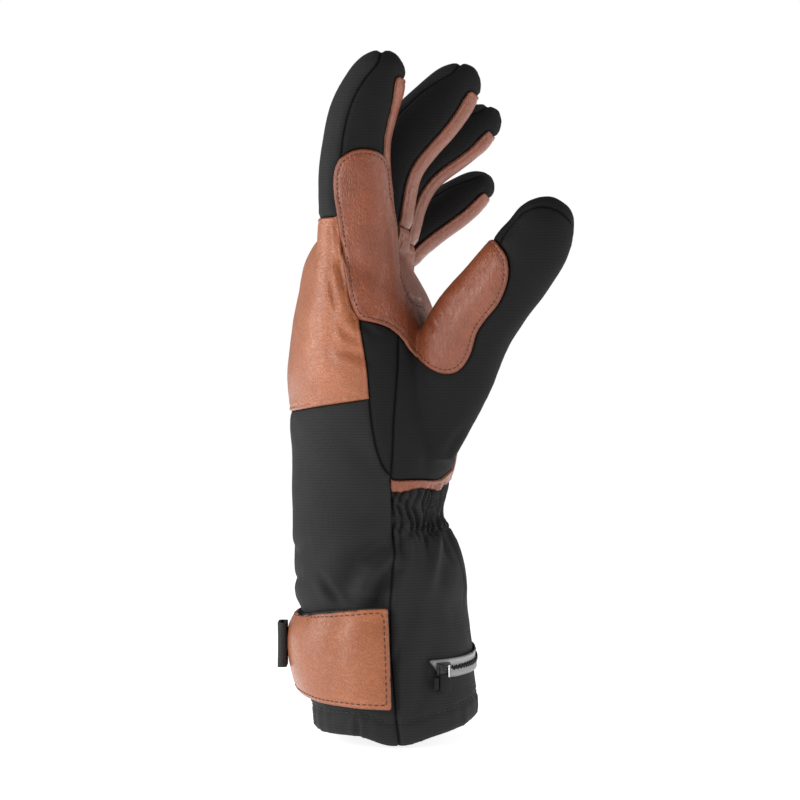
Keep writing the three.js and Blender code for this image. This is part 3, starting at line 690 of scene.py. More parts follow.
# %% Which panels lie on top
ON_TOP = {"saddle_patch": 3, "knuckle_panel": 2, "palm_leather": 2, "thumb_back": 1}
RANK = [ON_TOP.get(name, 2 if name.endswith("_palm") and name != "cuff_palm" else 1)
        for name in PANELS]
pair_layer = skin.edges.layers.int.new("pair")
OPEN_EDGE = -1
for edge in skin.edges:
    edge[pair_layer] = OPEN_EDGE
    panels = {f[panel_layer] for f in edge.link_faces}
    if len(panels) == 2:
        low, high = sorted(panels)
        edge[pair_layer] = low * 100 + high
out_layer = skin.verts.layers.float_vector.new("out")
skin.normal_update()
for vert in skin.verts:
    vert[out_layer] = vert.normal


# %% Measuring a panel
def edge_reach(bm, edges, count=1):
    """Distance of each point to the nearest of some edges, and that edge's number."""
    tree = kdtree.KDTree(len(edges))
    for k, edge in enumerate(edges):
        tree.insert((edge.verts[0].co + edge.verts[1].co) / 2, k)
    tree.balance()
    points = places(bm)
    found = np.array([[k for _, k, _ in tree.find_n(v.co, count)] for v in bm.verts])
    starts, ends = (np.array([e.verts[i].co[:] for e in edges])[found] for i in (0, 1))
    spans = ends - starts
    t = np.sum((points[:, None] - starts) * spans, axis=2)
    t = np.clip(t / np.maximum(np.sum(spans**2, axis=2), 1e-9), 0, 1)[:, :, None]
    reach = np.linalg.norm(points[:, None] - starts - t * spans, axis=2)
    rows, nearest = np.arange(len(points)), reach.argmin(axis=1)
    return reach[rows, nearest], found[rows, nearest]


def seam_measure(bm):
    """Distance of each point to the nearest seam of this panel, and that seam's pair code."""
    pair = bm.edges.layers.int["pair"]
    seams = [e for e in bm.edges if e[pair] != OPEN_EDGE and len(e.link_faces) == 1]
    reach, nearest = edge_reach(bm, seams, 4)
    return reach, np.array([e[pair] for e in seams])[nearest]


FLAT = 0.1                    # edges along which the value hardly changes aren't split
END_MARGIN = 0.12             # nor are edges that the level crosses close to an end


def split_at(bm, values, level):
    """Add a row of points where a value passes a level, so that relief is sampled cleanly."""
    bm.verts.index_update()
    crossing = [
        e for e in bm.edges
        if (values[e.verts[0].index] - level) * (values[e.verts[1].index] - level) < 0
        and abs(values[e.verts[0].index] - values[e.verts[1].index]) > FLAT
    ]
    fresh = []
    for edge in crossing:
        a, b = edge.verts
        share = (values[a.index] - level) / (values[a.index] - values[b.index])
        if END_MARGIN < share < 1 - END_MARGIN:
            a_index, b_index = a.index, b.index
            _, made = bmesh.utils.edge_split(edge, a, share)
            a.index, b.index = a_index, b_index
            made.index = a_index
            fresh.append(made)
    bmesh.ops.connect_verts(bm, verts=fresh)


# %% [markdown]
# The relief is written as one height for each point: seam valleys, puckers along stitching, the
# long creases that a worn glove keeps, gathers where elastic draws the wrist in, and a slight
# unevenness everywhere. A point then moves along its normal by that height.

# %% Creases seen in the photograph, and likely ones on the other sides
# for each side of the glove: points across and up in mm, depth, half width
CREASES = {
    "thumb": [
        ([(-31.5, 70.4), (-27.5, 64), (-23, 58.8)], 1.8, 1.4),
        ([(-2.3, 86.5), (-9, 83), (-16.2, 78), (-22.6, 65.4)], 2.8, 3.6),
        ([(-1.8, 78), (-13.5, 69), (-16.2, 56)], -1.4, 3.0),
        ([(-1.2, 73.5), (-6.5, 66), (-8.5, 56)], 3.4, 2.3),
        ([(-22, 128), (-10, 119), (-1, 107)], 1.2, 5.0),
        ([(-20, 62), (-12, 59.5), (-4, 59.5)], 1.4, 1.8),
        ([(-22.6, 210), (-21.8, 205.5), (-20.3, 201)], 1.7, 0.7),
        ([(-18, 178), (-12.5, 174.5), (-8, 170.5)], 1.2, 1.5),
        ([(-26, 165), (-18, 163.5), (-10, 160)], 0.9, 1.7),
        ([(-27.5, 196), (-26.2, 188), (-24.6, 181)], 0.8, 1.0),
        ([(10.5, 184), (13.8, 179), (15.4, 173)], 1.3, 1.0),
        ([(8.2, 181), (10.6, 176.5), (11.4, 171.5)], 0.8, 0.9),
        ([(11, 190), (17.5, 187.5), (22.5, 184)], 0.8, 0.9),
        ([(-24.5, 201.4), (-23, 196), (-21.1, 189.7)], 0.8, 1.2),
        ([(-19.1, 187.6), (-18, 181), (-15.7, 175.2)], 0.8, 1.3),
        ([(-23.2, 175), (-20, 171), (-17, 169)], 0.7, 1.3),
        ([(12.1, 185.6), (16, 182), (18.3, 177.3)], 0.9, 1.0),
        ([(13.8, 188.5), (19, 184), (22.5, 178.5)], 0.7, 0.9),
        ([(1.5, 212), (4.8, 213.2), (6.5, 213.5)], 0.5, 0.8),
        ([(3.0, 206), (5.8, 207), (7.5, 207)], 0.5, 0.8),
        ([(3.5, 200), (6.5, 200.6), (8.5, 200.6)], 0.5, 0.8),
        ([(-4, 30), (3, 42), (7, 60), (6, 80)], 0.9, 2.6),
        ([(8, 12), (13, 26), (16, 44)], 0.7, 2.4),
        ([(22, 60), (25, 52), (29, 46)], 0.9, 2.0),
        ([(19.8, 92), (17.1, 81.6), (13.9, 63.6)], -1.3, 1.8),
        ([(22.5, 88), (21.5, 76), (19.5, 64)], 1.2, 2.2),
        ([(5, 90), (3, 84), (2, 74)], 1.2, 1.6),
        ([(-15.5, 1), (-15.8, 6), (-16, 12)], 1.0, 1.0),
        ([(20, 118), (24, 126), (30, 134)], 0.9, 2.2),
        ([(12, 114), (14, 124), (17, 134)], 0.7, 2.0),
    ],
    "back": [
        ([(-22, 70), (-6, 66), (12, 71), (26, 67)], 1.3, 2.2),
        ([(-30, 84), (-12, 79), (4, 82)], 0.9, 2.4),
        ([(6, 62), (20, 60), (34, 65)], 1.0, 1.8),
        ([(-20, 190), (-16, 182), (-17, 172)], 0.8, 1.6),
        ([(2, 194), (4, 184), (1, 176)], 0.8, 1.6),
        ([(22, 190), (23, 181), (20, 172)], 0.8, 1.6),
    ],
    "little": [
        ([(-26, 72), (-12, 66), (2, 70)], 1.2, 2.0),
        ([(8, 84), (12, 74), (10, 62)], 0.9, 1.8),
        ([(-10, 126), (2, 132), (12, 142)], 0.9, 2.2),
        ([(-14, 160), (-2, 164), (8, 172)], 0.8, 2.2),
    ],
    "palm": [
        ([(-26, 168), (-12, 160), (2, 146), (6, 130)], 1.3, 1.9),
        ([(-22, 182), (-2, 178), (18, 172), (34, 164)], 1.2, 1.8),
        ([(-6, 128), (10, 136), (26, 140)], 0.8, 1.8),
        ([(-18, 84), (-16, 70), (-18, 58)], 0.9, 1.6),
        ([(2, 84), (4, 66), (2, 52)], 0.9, 1.7),
        ([(20, 86), (22, 72), (26, 60)], 0.9, 1.6),
    ],
}
# which axis runs across a side, and where the side faces
SIDES = {
    "thumb": (0, (0, -1, 0)),
    "little": (0, (0, 1, 0)),
    "palm": (1, (1, 0, 0)),
    "back": (1, (-1, 0, 0)),
}


def crease_depth(points, outward):
    """How deep all the creases are at each point; a low ridge stands along each of them."""
    total = np.zeros(len(points))
    for side, (line, depth, width) in [(side, row) for side in CREASES for row in CREASES[side]]:
        axis, facing = SIDES[side]
        seen = np.clip(outward @ np.array(facing) * 1.6, 0, 1)
        across, up = points[:, axis], points[:, 2]
        nearest = np.full(len(points), FAR)
        place = np.zeros(len(points))
        for k, ends in enumerate(zip(line, line[1:])):
            reach, t = segment_distance(across, up, *ends)
            place = np.where(reach < nearest, (k + t) / (len(line) - 1), place)
            nearest = np.minimum(nearest, reach)
        swell = np.sin(np.clip(place, 0.06, 0.94) * math.pi) ** 0.6
        valley = np.exp(-((nearest / width) ** 2))
        ridge = np.exp(-(((nearest - 2.3 * width) / (1.3 * width)) ** 2))
        total += seen * depth * swell * (valley - 0.38 * ridge)
    return total


# %% Gathers of the elastic at the wrist
# angle around the cuff from the palm towards the thumb, in degrees; further ones are seeded
PLEATS = [-80]
random.seed(7)
while PLEATS[-1] < 84:
    PLEATS.append(PLEATS[-1] + random.uniform(4.2, 6.6))
GATHER_LOW, GATHER_HIGH = 91, 105
GATHER_REACH_DOWN, GATHER_REACH_UP = 24, 8    # how far around the elastic the mesh is finer
PLEAT_TABLE = [
    (math.radians(angle), random.uniform(1.6, 2.9), random.uniform(5, 26), random.uniform(-0.16, 0.16))
    for angle in PLEATS
] + [
    (math.radians(angle + 2.4), random.uniform(0.9, 1.5), random.uniform(3, 8),
     random.choice((-1, 1)) * random.uniform(0.35, 0.6))
    for angle in PLEATS
]


def gather_depth(points):
    """Narrow valleys that run out downwards, one by one, below the elastic."""
    _, back, palm, _ = read_table(BODY_ROWS, CUFF_HEIGHT)
    angles = np.arctan2(points[:, 1], points[:, 0] - (back + palm) / 2)
    z = points[:, 2]
    total = np.zeros(len(points))
    for angle, depth, tail, drift in PLEAT_TABLE:
        sway = 0.024 * np.sin((z - GATHER_LOW) / 6.0 * math.pi + 9 * drift)
        at = angle + drift * (GATHER_LOW - z) / 40 + sway * blend(z, GATHER_LOW - 6, GATHER_LOW)
        near = blend(z, GATHER_LOW - tail, GATHER_LOW) * (1 - blend(z, GATHER_HIGH, GATHER_HIGH + 6))
        width = 0.025 + 0.0017 * np.maximum(0, GATHER_LOW - z)
        total += depth * near * np.exp(-(((angles - at) / width) ** 2))
    return total


def noise_at(points, size, seed):
    """Soft noise between -1 and 1, one value a point."""
    shift = Vector((seed * 17.3, seed * 5.1, seed * 9.7))
    return np.array([noise.noise(Vector(p) / size + shift) for p in points])


# %% Relief of one panel
VALLEY_DEPTH = 0.9
LAP = 0.45                    # how far a leather piece on top stands proud
LEATHERS = {"saddle_patch", "knuckle_panel", "palm_leather"} | {
    f"{digit['name']}_palm" for digit in DIGITS}


def edge_relief(number, distance, codes):
    """Valley, lap or step of each point, by what is sewn on at the nearest seam."""
    others = np.where(codes // 100 == number, codes % 100, codes // 100)
    step = np.array(RANK)[others] - RANK[number]
    valley = -VALLEY_DEPTH * np.exp(-((distance / 1.1) ** 2))
    below = -0.60 * np.exp(-((distance / 1.7) ** 2))
    above = 0.18 - 0.35 * np.exp(-((distance / 0.5) ** 2)) + 0.25 * np.exp(-((distance / 3) ** 2))
    return np.where(step == 0, valley, np.where(step > 0, below, above))


def make_panel(number):
    """One panel as its own bmesh, in millimetres, with its relief and its attributes."""
    name = PANELS[number]
    bm = skin.copy()
    layer = bm.faces.layers.int["panel"]
    bmesh.ops.delete(bm, geom=[f for f in bm.faces if f[layer] != number], context="FACES")
    if name == "cuff_palm":
        low, high = GATHER_LOW - GATHER_REACH_DOWN, GATHER_HIGH + GATHER_REACH_UP
        drawn_in = {f for f in bm.faces if low < f.calc_center_median().z < high}
        bmesh.ops.subdivide_edges(
            bm, edges=list({e for f in drawn_in for e in f.edges}), cuts=1, use_grid_fill=True)
        bmesh.ops.triangulate(bm, faces=[f for f in bm.faces if len(f.verts) > 4])
    for level in (0.7, STITCH_INSET, 2.7):
        split_at(bm, seam_measure(bm)[0], level)
    points = places(bm)
    distance, codes = seam_measure(bm)
    out = bm.verts.layers.float_vector["out"]
    outward = np.array([v[out][:] for v in bm.verts])
    outward /= np.maximum(np.linalg.norm(outward, axis=1), 1e-6)[:, None]
    height = edge_relief(number, distance, codes)
    leather = name in LEATHERS
    height += 0.4 * blend(distance, 0, 9) - 0.35
    pucker = noise_at(points, 2.6, 1)
    height += 0.16 * pucker * np.exp(-((distance - 2.2) / 2.2) ** 2)
    height += 0.30 * noise_at(points, 11, 2) * blend(distance, 0, 6)
    height -= crease_depth(points, outward)
    if name in ("cuff_palm", "palm_leather"):
        height -= gather_depth(points) * (0.4 if leather else 1)
    if name in ("cuff_palm", "back_panel"):
        height += hem_relief(points)
    if name == "saddle_patch":
        height += LAP
    if leather:
        height -= 0.34 * np.exp(-(((distance - STITCH_INSET) / 0.55) ** 2))
    moved = points + outward * height[:, None]
    seam = bm.verts.layers.float.new("seam")
    for vert, place, reach in zip(bm.verts, moved, distance):
        vert.co = place
        vert[seam] = reach
    return bm


# %% Relief of the hem
STITCH_INSET = 1.8
HEM_BAND = 9.8                # stitch line above the hem's edge


def hem_relief(points):
    """Turned-up hem: a stitched groove, small puckers below it and a rounded lower edge."""
    up = points[:, 2] - hem_height(points[:, 0])
    groove = -0.75 * np.exp(-(((up - HEM_BAND) / 1.1) ** 2))
    band = 1 - blend(up, HEM_BAND, HEM_BAND + 3)
    puckers = 0.55 * noise_at(points * np.array((1, 1, 0.35)), 5.2, 3) * band
    rounded_edge = -1.2 * np.exp(-((np.maximum(up, 0) / 1.0) ** 2))
    return groove + puckers + 0.35 * band + rounded_edge


# %% Make a panel's object
def finish_mesh(name, bm):
    """Scale a bmesh from millimetres to metres and make its object."""
    bmesh.ops.scale(bm, vec=(MM, MM, MM), verts=bm.verts)
    return new_object(name, bm)


def thicken(piece, thickness=WALL):
    """Give a sheet its wall, inwards, with a lining inside and a cut edge at the rim."""
    wall = piece.modifiers.new("wall", "SOLIDIFY")
    wall.thickness = thickness * MM
    wall.offset = -1
    wall.use_even_offset = False
    wall.material_offset = 1
    wall.material_offset_rim = 2
    return piece


pieces = {}
sewn_sheets = {}
for number, name in enumerate(PANELS):
    if name == "hem_cap":
        continue
    bm = make_panel(number)
    if name in ("saddle_patch", "back_panel", "cuff_palm"):
        sewn_sheets[name] = bm.copy()
    pieces[name] = thicken(finish_mesh(name + "_sewn", bm))
print("points of all panels:", sum(len(p.data.vertices) for p in pieces.values()))

# %% [markdown]
# The wrist strap is a leather band on grey felt, wrapped around the back of the cuff. It is stiffer
# than the cloth under it, so it copies the smooth cuff without the cuff's creases. The same seam
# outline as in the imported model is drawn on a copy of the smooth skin, and the band is lifted off
# it and thickened outwards.

# %% Strap outline
STRAP_WIDTH = 42
STRAP_HEIGHT = 36
STRAP_THICKNESS = 2
BACKING_THICKNESS = 1.2
SEWING_GAP = 0.3
FELT_MARGIN = 0.45            # how far the felt shows around the leather
# thousandths of CUFF_THICKNESS, and of STRAP_WIDTH from the strap's middle line
STRAP_OUTLINE = [
    (-20, -500), (-18, 510), (-150, 505), (-300, 490), (-450, 460), (-570, 400), (-635, 340),
    (-900, 340), (-900, -250), (-640, -255), (-605, -310), (-523, -370), (-414, -425),
    (-200, -482),
]
STRAP_SEAM = [(x / 1000 * CUFF_THICKNESS, STRAP_HEIGHT + z / 1000 * STRAP_WIDTH)
              for x, z in STRAP_OUTLINE]
CUFF_STEP, CUFF_TURNS = 1.2, 260


def cuff_band(low, high):
    """A fine smooth skin around the cuff between two heights."""
    bm = bmesh.new()
    heights = np.arange(low, high, CUFF_STEP)
    add_tube(bm, [body_ring(height, CUFF_TURNS) for height in heights], capped=False)
    bmesh.ops.recalc_face_normals(bm, faces=bm.faces)
    return bm


def trim(bm, field):
    """Keep only what lies inside a field, with a clean edge along its border."""
    values = field(places(bm))
    values[np.abs(values) < 0.12] = 0
    bm.verts.index_update()
    kept = {v: values[v.index] for v in bm.verts}
    fresh = []
    for edge in list(bm.edges):
        a, b = edge.verts
        value_a, value_b = kept[a], kept[b]
        if value_a * value_b < 0:
            _, made = bmesh.utils.edge_split(edge, a, value_a / (value_a - value_b))
            kept[made] = 0
            fresh.append(made)
    touched = {f for v in fresh for f in v.link_faces}
    on_line = {v for f in touched for v in f.verts if kept[v] == 0}
    bmesh.ops.connect_verts(bm, verts=list(on_line))
    outside = [f for f in bm.faces if sum(kept[v] for v in f.verts) > 0]
    bmesh.ops.delete(bm, geom=outside, context="FACES")


def lift_off(bm, lift, relief):
    """Raise a sheet off the cuff by a height and its relief, and store its border distance."""
    reach, _ = edge_reach(bm, [e for e in bm.edges if len(e.link_faces) == 1])
    bm.normal_update()
    seam = bm.verts.layers.float.new("seam")
    for vert, rise, distance in zip(bm.verts, lift + relief(places(bm), reach), reach):
        vert.co += vert.normal * rise
        vert[seam] = distance
    return bm


def strap_layer(grow, lift, relief):
    """One layer of the strap: the band inside the outline, lifted off the cuff."""
    bm = cuff_band(10, 62)
    field = region(STRAP_SEAM)
    trim(bm, lambda p: np.maximum(
        field(p) - grow, p[:, 0] + 3.3 - 0.0377 * (54 - p[:, 2]) + 2 * grow))
    return lift_off(bm, lift, relief)


def strap_relief(points, distance):
    """Edges turn down slightly, the stitch row sinks in, and the leather is a little uneven."""
    edge = -0.4 * np.exp(-((distance / 0.6) ** 2))
    stitched = -0.3 * np.exp(-(((distance - STITCH_INSET) / 0.8) ** 2))
    uneven = 0.25 * noise_at(points * np.array((1, 1, 0.6)), 14, 5) * blend(distance, 0, 4)
    return edge + stitched + uneven


# %% Strap and felt
STRAP_BOTTOM = SEWING_GAP + BACKING_THICKNESS + SEWING_GAP
sewn_sheets["wrist_strap"] = strap_layer(0, STRAP_BOTTOM + STRAP_THICKNESS, strap_relief)
pieces["wrist_strap"] = thicken(
    finish_mesh("strap_leather", sewn_sheets["wrist_strap"].copy()), STRAP_THICKNESS)
felt_bm = strap_layer(FELT_MARGIN, SEWING_GAP + BACKING_THICKNESS,
                      lambda points, distance: 0.25 * noise_at(points, 1.6, 6))
pieces["strap_backing"] = thicken(finish_mesh("strap_felt", felt_bm), BACKING_THICKNESS)

# %% Pull loop of webbing behind the strap
LOOP_HEIGHT, LOOP_LENGTH, LOOP_REACH, LOOP_RISE, WEBBING = 19, 22, 3.9, 3.2, 1.2
LOOP_TURNS, LOOP_LEVELS = 64, 18
_, strap_back, _, _ = read_table(BODY_ROWS, STRAP_HEIGHT)
LOOP_FACE = strap_back - STRAP_BOTTOM - STRAP_THICKNESS - SEWING_GAP


def webbing_loop():
    """A flattened ring: two half circles with straight runs between, drawn upwards."""
    radius = LOOP_REACH / 2
    straight = LOOP_LENGTH / 2 - radius
    angles = np.linspace(0, 2 * math.pi, LOOP_TURNS, False)
    y = radius * np.sin(angles) + np.where(np.sin(angles) > 1e-6, straight, -straight)
    bottom = STRAP_HEIGHT + LOOP_RISE - LOOP_HEIGHT / 2
    rings = []
    for z in np.linspace(bottom, bottom + LOOP_HEIGHT, LOOP_LEVELS + 1):
        sway = 0.25 * np.sin(y * 0.35 + z * 0.12)
        x = LOOP_FACE - radius + radius * np.cos(angles) + sway
        rings.append(np.stack((x, y, np.full(LOOP_TURNS, z)), axis=1))
    bm = bmesh.new()
    add_tube(bm, rings, capped=False)
    bmesh.ops.recalc_face_normals(bm, faces=bm.faces)
    return bm


loop = thicken(finish_mesh("webbing_loop", webbing_loop()), WEBBING)
round_edge = loop.modifiers.new("edge", "BEVEL")
round_edge.width = 0.3 * MM
round_edge.segments = 2
round_edge.limit_method = "ANGLE"
pieces["pull_loop"] = loop

# %% [markdown]
# The zip of the battery pocket lies around the palm side of the cuff: a coated tape, its coil, and
# a slider at the thumb end with a stiff fabric puller. The coil's teeth are many small bars of a few
# faces each, set across the line of the zip.

# %% Zip tape
ZIP_TAPE_WIDTH, ZIP_TAPE_THICKNESS = 8, 0.8
ZIP_HEIGHT, ZIP_TILT, ZIP_START, ZIP_END = 34, 0.058, -45, 22
TAPE_TOP = SEWING_GAP + ZIP_TAPE_THICKNESS


def zip_field(width, start, end):
    """Inside a band along the zip's line, on the palm side."""
    def field(p):
        middle = ZIP_HEIGHT + ZIP_TILT * p[:, 1]
        across = np.abs(p[:, 2] - middle) - width / 2
        slanted = start + 1.7 + 0.42 * (middle - p[:, 2]) - p[:, 1]
        value = np.maximum.reduce([across, slanted, p[:, 1] - end, -p[:, 0]])
        return np.clip(value, -NEAR, NEAR)
    return field


def tape_relief(points, distance):
    """Raised welt lips along both edges and a furrow for the coil."""
    line = np.abs(points[:, 2] - ZIP_HEIGHT - ZIP_TILT * points[:, 1])
    return 0.5 * np.exp(-(((line - 3.2) / 0.7) ** 2)) - 0.25 * np.exp(-((line / 1.6) ** 2))


tape_bm = cuff_band(18, 48)
trim(tape_bm, zip_field(ZIP_TAPE_WIDTH, ZIP_START, ZIP_END))
lift_off(tape_bm, TAPE_TOP, tape_relief)
pieces["zip_tape"] = thicken(finish_mesh("coated_tape", tape_bm), ZIP_TAPE_THICKNESS)


# %% Places on the cuff
def set_on(place, axes, size):
    """Matrix that puts a unit shape on a place, along three axes and with three sizes."""
    matrix = Matrix([axis * length for axis, length in zip(axes, size)]).transposed().to_4x4()
    matrix.translation = place
    return matrix


def on_cuff(y, height, lift):
    """Point over the cuff's palm side at one Y, with its outward direction."""
    _, back, palm, half_width = read_table(BODY_ROWS, height)
    share = min(abs(y) / half_width, 0.999)
    across = (1 - share**BODY_SQUARENESS) ** (1 / BODY_SQUARENESS)
    x = (back + palm) / 2 + across * (palm - back) / 2
    slope = np.array((across ** (BODY_SQUARENESS - 1) / ((palm - back) / 2),
                      math.copysign(share ** (BODY_SQUARENESS - 1), y) / half_width))
    outward = Vector((slope[0], slope[1], 0)).normalized()
    return Vector((x, y, height)) + outward * lift, outward


# %% Coil teeth
TOOTH_PITCH = 1.25
TOOTH_HALF_SIZE = (0.42, 0.95, 0.52)


def coil_teeth():
    """Short bars across the zip's line, alternating slightly up and down as a coil does."""
    bm = bmesh.new()
    before, teeth = None, 0
    for y in np.arange(ZIP_START + 7.5, ZIP_END - 1.5, 0.05).tolist():
        place, outward = on_cuff(y, ZIP_HEIGHT + ZIP_TILT * y, TAPE_TOP + 0.45)
        if before and (place - before).length < TOOTH_PITCH:
            continue
        before = place
        teeth += 1
        along = Vector((-outward.y, outward.x, ZIP_TILT)).normalized()
        up = outward.cross(along)
        turn = set_on(place + up * (0.28 if teeth % 2 else -0.28), (along, up, outward), TOOTH_HALF_SIZE)
        bmesh.ops.create_uvsphere(bm, u_segments=8, v_segments=6, radius=1, matrix=turn)
    return bm


pieces["zip_coil"] = finish_mesh("coil_teeth", coil_teeth())

# %% Slider and puller
SLIDER_Y = ZIP_START + 3.5


def bar(bm, place, outward, size, bevel, middle):
    """A bevelled block on the cuff: size and middle along the cuff, up and outwards."""
    before = set(bm.verts)
    made = bmesh.ops.create_cube(bm, size=1)["verts"]
    bmesh.ops.scale(bm, vec=size, verts=made)
    edges = list({e for v in made for e in v.link_edges})
    bmesh.ops.bevel(bm, geom=edges, offset=bevel, offset_type="OFFSET", affect="EDGES", segments=2,
                    profile=0.5, material=-1)
    along = Vector((-outward.y, outward.x, 0))
    turn = set_on(place, (along, Vector((0, 0, 1)), outward), (1, 1, 1))
    block = [v for v in bm.verts if v not in before]
    for vert in block:
        vert.co = turn @ (vert.co + Vector(middle))
    return block


slider_spot = on_cuff(SLIDER_Y, ZIP_HEIGHT + ZIP_TILT * SLIDER_Y, TAPE_TOP + 0.4)
slider_bm = bmesh.new()
bar(slider_bm, *slider_spot, (7.0, 5.6, 1.0), 0.35, (0, 0, 0.5))
bar(slider_bm, *slider_spot, (5.8, 4.4, 0.7), 0.25, (0.3, 0, 1.3))
pin = bar(slider_bm, *slider_spot, (0.9, 5.2, 0.9), 0.3, (1.5, -0.8, 2.2))
for face in {f for v in pin for f in v.link_faces}:
    face.material_index = 1
pieces["zip_slider"] = finish_mesh("slider_body", slider_bm)
puller_bm = bmesh.new()
bar(puller_bm, *slider_spot, (5.4, 7.4, 1.6), 0.5, (-0.2, -5.6, 1.5))
bar(puller_bm, *slider_spot, (2.4, 5.0, 1.3), 0.4, (-4.6, -5.8, 1.2))
pieces["zip_puller"] = finish_mesh("puller_tab", puller_bm)

# %% [markdown]
# Stitches are what tells sewn leather from moulded rubber. A row of stitches follows a line at a
# fixed distance from the panel's edge, so the line is read off the panel's own measured distance,
# and a small spindle of thread is set on it at every stitch length.

# %% Lines at one distance from a seam
def above_border(bm):
    """Measure of a panel's rows of stitches: the distance of each point to its border."""
    seam = bm.verts.layers.float["seam"]
    return lambda vert: vert[seam]


def above_hem(bm):
    return lambda vert: vert.co.z - float(hem_height(np.array(vert.co.x)))


def lines_at(bm, measure, level):
    """Chains of places and normals along which a measure of the sheet has one value."""
    bm.normal_update()
    values = {v: measure(v) - level for v in bm.verts}
    crossing = {}
    for edge in bm.edges:
        a, b = edge.verts
        value_a, value_b = values[a], values[b]
        if (value_a < 0) != (value_b < 0):
            share = value_a / (value_a - value_b)
            crossing[edge] = (a.co.lerp(b.co, share), a.normal.lerp(b.normal, share).normalized())
    links = {edge: [] for edge in crossing}
    for face in bm.faces:
        ends = [e for e in face.edges if e in links]
        if len(ends) == 2:
            links[ends[0]].append(ends[1])
            links[ends[1]].append(ends[0])
    chains, seen = [], set()
    for start in [e for e in links if len(links[e]) == 1] + list(links):
        if start in seen:
            continue
        chain = [start]
        seen.add(start)
        while True:
            onward = next((e for e in links[chain[-1]] if e not in seen), None)
            if onward is None:
                break
            seen.add(onward)
            chain.append(onward)
        chains.append([crossing[e] for e in chain])
    return chains


def sew(bm, chain, pitch, keep, thickness):
    """Set spindles of thread along a chain of places, one stitch length apart."""
    spots = np.array([place[:] for place, _ in chain])
    normals = np.array([normal[:] for _, normal in chain])
    gone = np.concatenate(([0], np.cumsum(np.linalg.norm(np.diff(spots, axis=0), axis=1))))
    for at in np.arange(pitch / 2, gone[-1] - pitch / 2, pitch):
        start, end, normal = (
            Vector([np.interp(place, gone, rows[:, axis]) for axis in range(3)])
            for place, rows in ((at - 0.42 * pitch, spots), (at + 0.42 * pitch, spots), (at, normals)))
        middle = (start + end) / 2
        if not keep(middle):
            continue
        along = (end - start).normalized()
        side = along.cross(normal.normalized()).normalized()
        raised = side.cross(along)
        turn = set_on(middle + raised * 0.08, (along, side, raised), (0.4 * pitch, thickness, thickness))
        bmesh.ops.create_uvsphere(bm, u_segments=6, v_segments=5, radius=1, matrix=turn)


# %% Sew the leather and the hem
SHORTEST_CHAIN = 12
threads = {"brown": bmesh.new(), "black": bmesh.new()}
# sheet, measure, level, thread, stitch length, thickness, where stitches are kept
STITCH_ROWS = [
    ("saddle_patch", above_border, STITCH_INSET, "brown", 2.0, 0.27, lambda place: True),
    ("wrist_strap", above_border, STITCH_INSET, "brown", 2.6, 0.27, lambda place: place.x < -3.5),
    ("back_panel", above_hem, HEM_BAND, "black", 3.0, 0.24, lambda place: place.z < 30),
    ("cuff_palm", above_hem, HEM_BAND, "black", 3.0, 0.24, lambda place: place.z < 30),
]
for name, measure, level, color, pitch, thickness, keep in STITCH_ROWS:
    sheet = sewn_sheets[name]
    for chain in lines_at(sheet, measure(sheet), level):
        if len(chain) > SHORTEST_CHAIN or measure is above_hem:
            sew(threads[color], chain, pitch, keep, thickness)
for color, bm in threads.items():
    print("faces of", color, "thread:", len(bm.faces))
stitching = {color: finish_mesh(color + "_stitching", bm) for color, bm in threads.items()}

# %% [markdown]
# Materials. The glove has one grained leather in two tones: tan, and a darker brown which is
# painted shade, the same leather made darker for the saddle patch and the palm pieces. There is
# also a matt softshell with fine cross ribs, a smoother stretch cloth between the panels, felt,
# webbing, a coated zip tape and enamelled metal. Leather grain, ribs, weave and unevenness are
# node groups that are built once; each material gives them its own scale and mixes their masks
# into colour, roughness and bump.

# %% Helpers for nodes
def feed(tree, socket, value):
    """Give a node's socket a link, a number, a direction or a colour."""
    if isinstance(value, bpy.types.NodeSocket):
        tree.links.new(value, socket)
    elif value is not None:
        socket.default_value = (*value, 1) if socket.type == "RGBA" else value


def new_group(name, inputs, outputs):
    """An empty node group; returns its tree, its inputs and its outputs."""
    tree = bpy.data.node_groups.new(name, "ShaderNodeTree")
    for label, value in inputs.items():
        kind = "NodeSocketVector" if isinstance(value, tuple) else "NodeSocketFloat"
        socket = tree.interface.new_socket(label, in_out="INPUT", socket_type=kind)
        socket.default_value = value
    for label in outputs:
        tree.interface.new_socket(label, in_out="OUTPUT", socket_type="NodeSocketFloat")
    return tree, tree.nodes.new("NodeGroupInput").outputs, tree.nodes.new("NodeGroupOutput").inputs


def math_node(tree, operation, first, second=None, third=None, clamp=False):
    node = tree.nodes.new("ShaderNodeMath")
    node.operation = operation
    node.use_clamp = clamp
    for slot, value in enumerate((first, second, third)):
        feed(tree, node.inputs[slot], value)
    return node.outputs[0]


def range_node(tree, value, low, high):
    """An S curve from 0 below low to 1 above high."""
    node = tree.nodes.new("ShaderNodeMapRange")
    node.interpolation_type = "SMOOTHSTEP"
    for label, entry in (("Value", value), ("From Min", low), ("From Max", high)):
        feed(tree, node.inputs[label], entry)
    return node.outputs["Result"]


def mix_color(tree, share, first, second):
    node = tree.nodes.new("ShaderNodeMix")
    node.data_type = "RGBA"
    for label, value in (("Factor", share), ("A", first), ("B", second)):
        feed(tree, next(i for i in node.inputs if i.name == label and i.enabled), value)
    return next(o for o in node.outputs if o.enabled)


def tint(tree, color, mask, amount, toward):
    """Move a colour towards another one by a share of a mask."""
    return mix_color(tree, math_node(tree, "MULTIPLY", mask, amount), color, toward)


def object_place(tree):
    return tree.nodes.new("ShaderNodeTexCoord").outputs["Object"]


def vector_node(tree, operation, *values):
    node = tree.nodes.new("ShaderNodeVectorMath")
    node.operation = operation
    for slot, value in enumerate(values):
        feed(tree, node.inputs[slot], value)
    return node.outputs[0]


